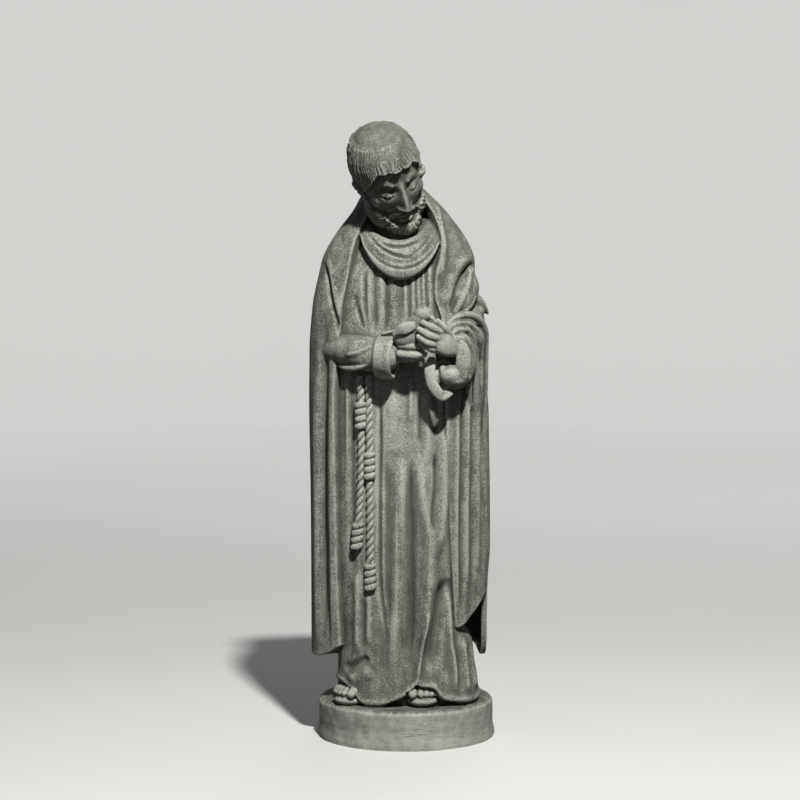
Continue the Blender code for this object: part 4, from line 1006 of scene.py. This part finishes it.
def plinth():
    """A low round block, cast a little uneven, with a worn rounded rim."""
    bpy.ops.object.select_all(action="DESELECT")
    bpy.ops.mesh.primitive_cylinder_add(
        vertices=256, radius=PLINTH_RADIUS, depth=PLINTH_HEIGHT, location=(0, 0, PLINTH_HEIGHT / 2)
    )
    made = bpy.context.object
    made.name = made.data.name = "plinth"
    bpy.ops.object.transform_apply(location=True, rotation=True, scale=True)
    bpy.ops.object.mode_set(mode="EDIT")
    bpy.ops.mesh.select_all(action="DESELECT")
    bpy.ops.object.mode_set(mode="OBJECT")
    for edge in made.data.edges:
        a, b = (made.data.vertices[i].co for i in edge.vertices)
        edge.select = min(a.z, b.z) > PLINTH_HEIGHT - 1e-4 and abs(a.xy.length - PLINTH_RADIUS) < 1e-4
    bpy.ops.object.mode_set(mode="EDIT")
    bpy.ops.mesh.select_mode(type="EDGE")
    bpy.ops.mesh.bevel(offset=PLINTH_RIM, segments=8, affect="EDGES")
    bpy.ops.object.mode_set(mode="OBJECT")
    # The wall is cut into courses, and the top into rings, so that the surface can be worn.
    bm = bmesh.new()
    bm.from_mesh(made.data)
    for k in range(1, PLINTH_COURSES):
        level = (0, 0, (PLINTH_HEIGHT - PLINTH_RIM) * k / PLINTH_COURSES)
        every_part = bm.verts[:] + bm.edges[:] + bm.faces[:]
        bmesh.ops.bisect_plane(bm, geom=every_part, plane_co=level, plane_no=(0, 0, 1))
    top = [f for f in bm.faces if f.normal.z > 0.99 and len(f.verts) > 8]
    for _ in range(PLINTH_RINGS):
        bmesh.ops.inset_region(bm, faces=top, thickness=PLINTH_RING_WIDTH, use_even_offset=False)
    bm.to_mesh(made.data)
    bm.free()
    points = points_of(made)
    radius = np.hypot(points[:, 0], points[:, 1])
    turn = np.arctan2(points[:, 1], points[:, 0])
    up = points[:, 2] / PLINTH_HEIGHT
    wall = ramp(radius, PLINTH_RADIUS * 0.9, PLINTH_RADIUS)
    out = PLINTH_FLARE * (1 - ramp(up, 0.0, 0.4))
    out = out + wall * 0.0009 * wavy(turn * 9 + 3 * up, 0.4) + wall * 0.0006 * wavy(turn * 31 - 7 * up, 1.9)
    chips = wavy(turn * 23, 2.2)
    out = out - wall * 0.0012 * ramp(up, 0.75, 1.0) * (chips > 0.2) * np.abs(chips)
    scale = 1 + out / np.maximum(radius, 0.05)
    points[:, 0] *= scale
    points[:, 1] *= scale
    points[:, 2] -= ramp(up, 0.5, 1.0) * 0.0008 * (1 + wavy(turn * 6 + radius * 60, 1.0))
    made.data.vertices.foreach_set("co", points.ravel())
    made.data.update()
    return made


# Cast stone


# The depth of the finest pits and grains.
FINE_RELIEF = 0.0014


class Reading:
    """A number that changes over the surface. Arithmetic on it adds Math nodes."""

    def __init__(self, finish, socket):
        self.finish, self.socket = finish, socket

    def maths(self, operation, *values):
        node = self.finish.node("ShaderNodeMath", {"operation": operation}, dict(enumerate(values)))
        return Reading(self.finish, node.outputs[0])

    def __add__(self, other):
        return self.maths("ADD", self, other)

    def __radd__(self, other):
        return self.maths("ADD", other, self)

    def __sub__(self, other):
        return self.maths("SUBTRACT", self, other)

    def __rsub__(self, other):
        return self.maths("SUBTRACT", other, self)

    def __mul__(self, other):
        return self.maths("MULTIPLY", self, other)

    def __rmul__(self, other):
        return self.maths("MULTIPLY", other, self)

    def apart(self, value):
        """How far the reading lies from a value, either way."""
        return self.maths("ABSOLUTE", self - value)

    def between(self, low, high):
        """0 below low, 1 above high, and smooth in between."""
        sockets = {"Value": self, "From Min": low, "From Max": high}
        node = self.finish.node("ShaderNodeMapRange", {"interpolation_type": "SMOOTHSTEP"}, sockets)
        return Reading(self.finish, node.outputs[0])

    def at_most(self, value):
        return self.maths("MINIMUM", self, value)


class Finish:
    """One material and its nodes."""

    def __init__(self, name):
        self.material = bpy.data.materials.new(name)
        self.material.use_nodes = True
        self.tree = self.material.node_tree
        self.shader = self.tree.nodes["Principled BSDF"]
        place = self.node("ShaderNodeTexCoord", {}, {})
        self.place = place.outputs["Object"]

    def node(self, kind, settings, sockets):
        """Adds a node. Its settings are set first, then the values or links of its sockets."""
        made = self.tree.nodes.new(kind)
        for name, value in settings.items():
            setattr(made, name, value)
        for name, value in sockets.items():
            self.feed(made.inputs[name], value)
        return made

    def feed(self, socket, value):
        if isinstance(value, Reading):
            value = value.socket
        if isinstance(value, bpy.types.NodeSocket):
            self.tree.links.new(value, socket)
        else:
            socket.default_value = value

    def stretched(self, across, up):
        """The place on the object, scaled across and along its height."""
        node = self.node("ShaderNodeMapping", {}, {"Vector": self.place, "Scale": (across, across, up)})
        return node.outputs[0]

    def noise(self, scale, detail=2.0, rough=0.5, place=None):
        sockets = {"Vector": place or self.place, "Scale": scale, "Detail": detail, "Roughness": rough}
        node = self.node("ShaderNodeTexNoise", {}, sockets)
        return Reading(self, node.outputs["Fac"])

    def cells(self, scale):
        """How far the point lies from the nearest of many scattered ones."""
        node = self.node("ShaderNodeTexVoronoi", {}, {"Vector": self.place, "Scale": scale})
        return Reading(self, node.outputs["Distance"])

    def measure(self, axis):
        """How far the point lies along an axis, in metres."""
        node = self.node("ShaderNodeSeparateXYZ", {}, {"Vector": self.place})
        return Reading(self, node.outputs[axis])

    def mark(self, name):
        """One of the marks of wear and painted shade on the piece's points."""
        node = self.node("ShaderNodeAttribute", {"attribute_name": name}, {})
        return Reading(self, node.outputs["Fac"])

    def blend(self, share, first, second):
        """Two colours mixed by a share."""
        node = self.node("ShaderNodeMix", {"data_type": "RGBA"}, {0: share, 6: first, 7: second})
        return node.outputs[2]


    def finished(self, colour, roughness, relief, strength):
        """The material of a matt stone with this colour, roughness and fine relief."""
        pits = {"Strength": strength, "Distance": FINE_RELIEF, "Height": relief}
        normal = self.node("ShaderNodeBump", {}, pits).outputs[0]
        for name, value in (("Base Color", colour), ("Roughness", roughness), ("Normal", normal)):
            self.feed(self.shader.inputs[name], value)
        self.shader.inputs["Specular IOR Level"].default_value = 0.25
        return self.material


# How far the stone is worn, and the darkest and lightest tones of its skin.
CLOTH_SKIN = (0.50, (0.078, 0.080, 0.068, 1), (0.142, 0.144, 0.126, 1))
HEAD_SKIN = (0.36, (0.085, 0.087, 0.074, 1), (0.142, 0.144, 0.126, 1))
HAND_SKIN = (0.55, (0.125, 0.127, 0.111, 1), (0.205, 0.207, 0.185, 1))


def weathered_stone(name, worn, dark_skin, light_skin):
    """Grey cast stone: pale and speckled where it is worn, dark and smooth in the folds, where shade is
    painted in, with streaks.
    """
    stone = Finish(name)
    edge, rise, upward = (stone.mark(n) for n in ("edge", "rise", "upward"))
    patches = stone.noise(6.0, 3.0, 0.55)
    mottle = stone.noise(32.0, 4.0, 0.6)
    sand = stone.noise(280.0, 3.0, 0.72)
    grit = stone.cells(300.0)
    streaks = stone.noise(1.0, 3.0, 0.6, stone.stretched(60.0, 5.0))
    across, height = stone.measure("X").apart(0.0), stone.measure("Z")
    # The stone is palest at the cuff and on the middle of the skirt, below the hands. It is painted darker
    # towards both sides, a painted shade on the sides that turn from the light.
    pale = (height.between(0.22, 0.70) - height.between(0.84, 0.96)) * (1 - 0.85 * across.between(0.06, 0.15))
    wear = worn + 0.35 * edge + 0.45 * rise - 0.30 * upward.between(0.45, 0.95) - 0.08 + 0.14 * pale
    wear = wear + 0.45 * (mottle - 0.5) + 0.45 * (patches - 0.5) + 0.45 * (streaks - 0.5)
    wear = wear.at_most(0.78)
    # The dark skin of the casting, which has worn through to pale sand in grains, most where it stands proud.
    skin = stone.blend((0.5 * mottle + 0.5 * streaks).between(0.38, 0.62), dark_skin, light_skin)
    skin = stone.blend(0.6 * pale, skin, (0.215, 0.217, 0.195, 1))
    worn_grains = (sand + 0.50 * (wear - 0.5) - 0.10 * grit).between(0.37, 0.65)
    sand_colour = stone.blend(pale, (0.32, 0.32, 0.29, 1), (0.38, 0.38, 0.35, 1))
    stone_colour = stone.blend(worn_grains, skin, sand_colour)
    crumbs = (1 - grit.between(0.10, 0.30)) * wear.between(0.40, 0.85) * 0.5
    stone_colour = stone.blend(crumbs, stone_colour, (0.44, 0.44, 0.40, 1))
    # Painted shade, with some soot and old rain staining, darkens the deepest folds.
    fold_stain_and_shade = (0.0 - rise - 0.6 * edge).between(0.10, 0.85) * (0.45 + 0.5 * mottle)
    stone_colour = stone.blend(fold_stain_and_shade, stone_colour, (0.050, 0.052, 0.042, 1))
    relief = 0.8 * sand + 0.7 * mottle + 0.35 * worn_grains - 0.5 * (1 - grit.between(0.05, 0.3))
    return stone.finished(stone_colour, 0.78 + 0.2 * sand, relief, 0.75)


def plinth_stone():
    """Smoother, paler stone, with trowel marks, runs and fine scratches on its wall, and a top darkened by
    dirt and by painted shade.
    """
    stone = Finish("trowelled plinth stone")
    edge, upward = stone.mark("edge"), stone.mark("upward")
    mottle = stone.noise(16.0, 5.0, 0.65)
    sand = stone.noise(380.0, 3.0, 0.7)
    trowelled = stone.noise(1.0, 4.0, 0.65, stone.stretched(7.0, 60.0))
    runs = stone.noise(1.0, 3.0, 0.6, stone.stretched(48.0, 6.0))
    tone = 0.34 * trowelled + 0.18 * runs + 0.48 * mottle
    wall = stone.blend(tone.between(0.36, 0.62), (0.155, 0.157, 0.138, 1), (0.36, 0.36, 0.33, 1))
    wall = stone.blend(0.38 * sand.between(0.42, 0.70), wall, (0.44, 0.44, 0.405, 1))
    # Fine dark scratches.
    scratch = stone.noise(1.0, 2.0, 0.5, stone.stretched(14.0, 240.0))
    scratches = (1 - scratch.apart(0.5).between(0.004, 0.02)) * mottle.between(0.50, 0.62)
    wall = stone.blend(0.6 * scratches, wall, (0.07, 0.072, 0.06, 1))
    # The top is darker than the wall: partly dirt, partly a painted shadow of the statue falling on it.
    top = stone.blend(mottle.between(0.35, 0.65), (0.052, 0.054, 0.044, 1), (0.12, 0.122, 0.105, 1))
    colour = stone.blend(upward.between(0.45, 0.9), wall, top)
    colour = stone.blend(0.55 * edge.between(0.05, 0.5), colour, (0.40, 0.40, 0.37, 1))
    relief = 0.5 * sand + 1.1 * trowelled + 0.8 * mottle - 0.6 * scratches
    return stone.finished(colour, 0.76 + 0.2 * sand, relief, 0.6)


def statue():
    """Every piece of the statue, each with its marks of wear and painted shade and its stone, riding with the
    whole.
    """
    cloth_stone = weathered_stone("worn stone of the cloth", *CLOTH_SKIN)
    smooth_stone = weathered_stone("smoother stone of the head", *HEAD_SKIN)
    pale_stone = weathered_stone("paler stone of hands and feet", *HAND_SKIN)
    cloth = [tunic(ROBE_GRAIN), mantle(ROBE_GRAIN), cowl(ROBE_GRAIN)]
    cloth += hood() + right_upper_arm() + right_sleeve() + left_sleeve()
    cloth.append(limb(((-16, 16, 1000), (-24, -10, 1070), (-34, -50, 1130)), (56, 54, 54)))
    robe = fused("robe", cloth, ROBE_GRAIN)
    bowed_head = head(HEAD_GRAIN)
    both_hands = fused("hands_and_bird", hands() + bird(), HANDS_GRAIN)
    pieces = [
        (robe, ROBE_FACES, ROBE_GRAIN, cloth_stone),
        (bowed_head, HEAD_FACES, HEAD_GRAIN, smooth_stone),
        (both_hands, HANDS_FACES, HANDS_GRAIN, pale_stone),
    ]
    for side, place in zip(("left", "right"), FEET):
        pieces.append((fused("foot_" + side, foot(*place), FOOT_GRAIN), FOOT_FACES, FOOT_GRAIN, pale_stone))
    for side, strand in zip(("left", "right"), CORD_STRANDS):
        pieces.append((mesh_object("cord_" + side, cord_strand(strand)), CORD_FACES, CORD_GRAIN, cloth_stone))
    for made, faces, grain, stone in pieces:
        mark_wear_and_shade(made, grain)
        dressed(on_plinth(thinned(made, faces)), stone)
        bpy.ops.object.shade_smooth()
    # The marks of wear and painted shade are measured in millimetres.
    base = plinth()
    base.data.transform(Matrix.Scale(1000, 4))
    mark_wear_and_shade(base, PLINTH_GRAIN)
    base.data.transform(Matrix.Scale(0.001, 4))
    dressed(base, plinth_stone())
    bpy.ops.object.shade_smooth_by_angle(angle=math.radians(40))
    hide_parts("saint_francis_statue")


def dressed(made, stone):
    """Gives a piece its stone, and it rides with the statue."""
    made.data.materials.clear()
    made.data.materials.append(stone)
    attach(made, "root")
    alone(made)


FLOOR_RADIUS = 8.0
FLOOR_SIDES = 96
# Beyond its edge the floor curves up with this radius, and then goes straight up to the height.
SWEEP_RADIUS = 4.0
SWEEP_HEIGHT = 12.0


def studio():
    """A pale floor that sweeps up far behind, a high key light from the front and two weak soft ones."""
    floor_finish = Finish("pale studio floor")
    cloudy = floor_finish.noise(1.5, 2.0)
    paint = floor_finish.blend(cloudy, (0.52, 0.52, 0.51, 1), (0.55, 0.55, 0.54, 1))
    floor_finish.feed(floor_finish.shader.inputs["Base Color"], paint)
    floor_finish.shader.inputs["Roughness"].default_value = 0.9
    # Far from the statue, where the key light no longer reaches, the backdrop glows instead.
    span = floor_finish.node("ShaderNodeVectorMath", {"operation": "LENGTH"}, {0: floor_finish.place})
    far = Reading(floor_finish, span.outputs["Value"]).between(1.0, 8.0)
    glow = floor_finish.blend(far, (0.0, 0.0, 0.0, 1), (0.50, 0.50, 0.49, 1))
    floor_finish.feed(floor_finish.shader.inputs["Emission Color"], glow)
    floor_finish.shader.inputs["Emission Strength"].default_value = 1.0
    bpy.ops.object.select_all(action="DESELECT")
    bpy.ops.mesh.primitive_circle_add(vertices=FLOOR_SIDES, radius=FLOOR_RADIUS, fill_type="NGON")
    floor = bpy.context.object
    floor.name = "floor"
    t = np.linspace(0, 2 * math.pi, FLOOR_SIDES, endpoint=False)
    profile = [
        (FLOOR_RADIUS + SWEEP_RADIUS * math.sin(a), SWEEP_RADIUS * (1 - math.cos(a)))
        for a in np.radians(np.arange(0, 91, 10))
    ]
    profile.append((FLOOR_RADIUS + SWEEP_RADIUS, SWEEP_HEIGHT))
    rings = [np.stack([r * np.cos(t), r * np.sin(t), height + 0 * t], -1) for r, height in profile]
    sweep = mesh_object("sweep", (np.array(rings).reshape(-1, 3), grid_faces(len(rings), FLOOR_SIDES, True)))
    alone(sweep)
    bpy.ops.object.shade_smooth()
    sweep.visible_diffuse = sweep.visible_glossy = sweep.visible_shadow = False
    floor.visible_diffuse = False
    for made in (floor, sweep):
        made.data.materials.clear()
        made.data.materials.append(floor_finish.material)

    world = bpy.data.worlds.new("studio air")
    bpy.context.scene.world = world
    world.use_nodes = True
    air = world.node_tree.nodes["Background"].inputs
    air["Color"].default_value = (0.95, 0.97, 1.0, 1)
    air["Strength"].default_value = 0.08

    for name, place, size, power, colour in (
        ("key", (0.85, -3.75, 5.3), 0.35, 640, (1.0, 0.985, 0.955)),
        ("fill", (-3.0, -3.2, 2.2), 2.5, 9, (0.95, 0.97, 1.0)),
        ("back", (0.9, 4.4, 3.6), 3.0, 60, (0.95, 0.97, 1.0)),
    ):
        light = bpy.data.lights.new(name, "AREA")
        light.shape = "DISK"
        light.size, light.energy, light.color = size, power, colour
        lamp = bpy.data.objects.new(name, light)
        bpy.context.scene.collection.objects.link(lamp)
        lamp.location = place
        aim = Matrix.Translation((0, 0, 0.75)).translation - lamp.location
        lamp.rotation_euler = aim.to_track_quat("-Z", "Y").to_euler()
        lamp.visible_camera = False

    bpy.context.scene.view_settings.view_transform = "Standard"

    view = bpy.data.cameras.new("view")
    view.lens, view.sensor_width = 105.5, 36
    camera = bpy.data.objects.new("view", view)
    bpy.context.scene.collection.objects.link(camera)
    camera.location = (-0.013, -5.2, 1.13)
    camera.rotation_euler = (math.radians(90 - 4.195), 0, 0)
    bpy.context.scene.camera = camera


statue()
studio()
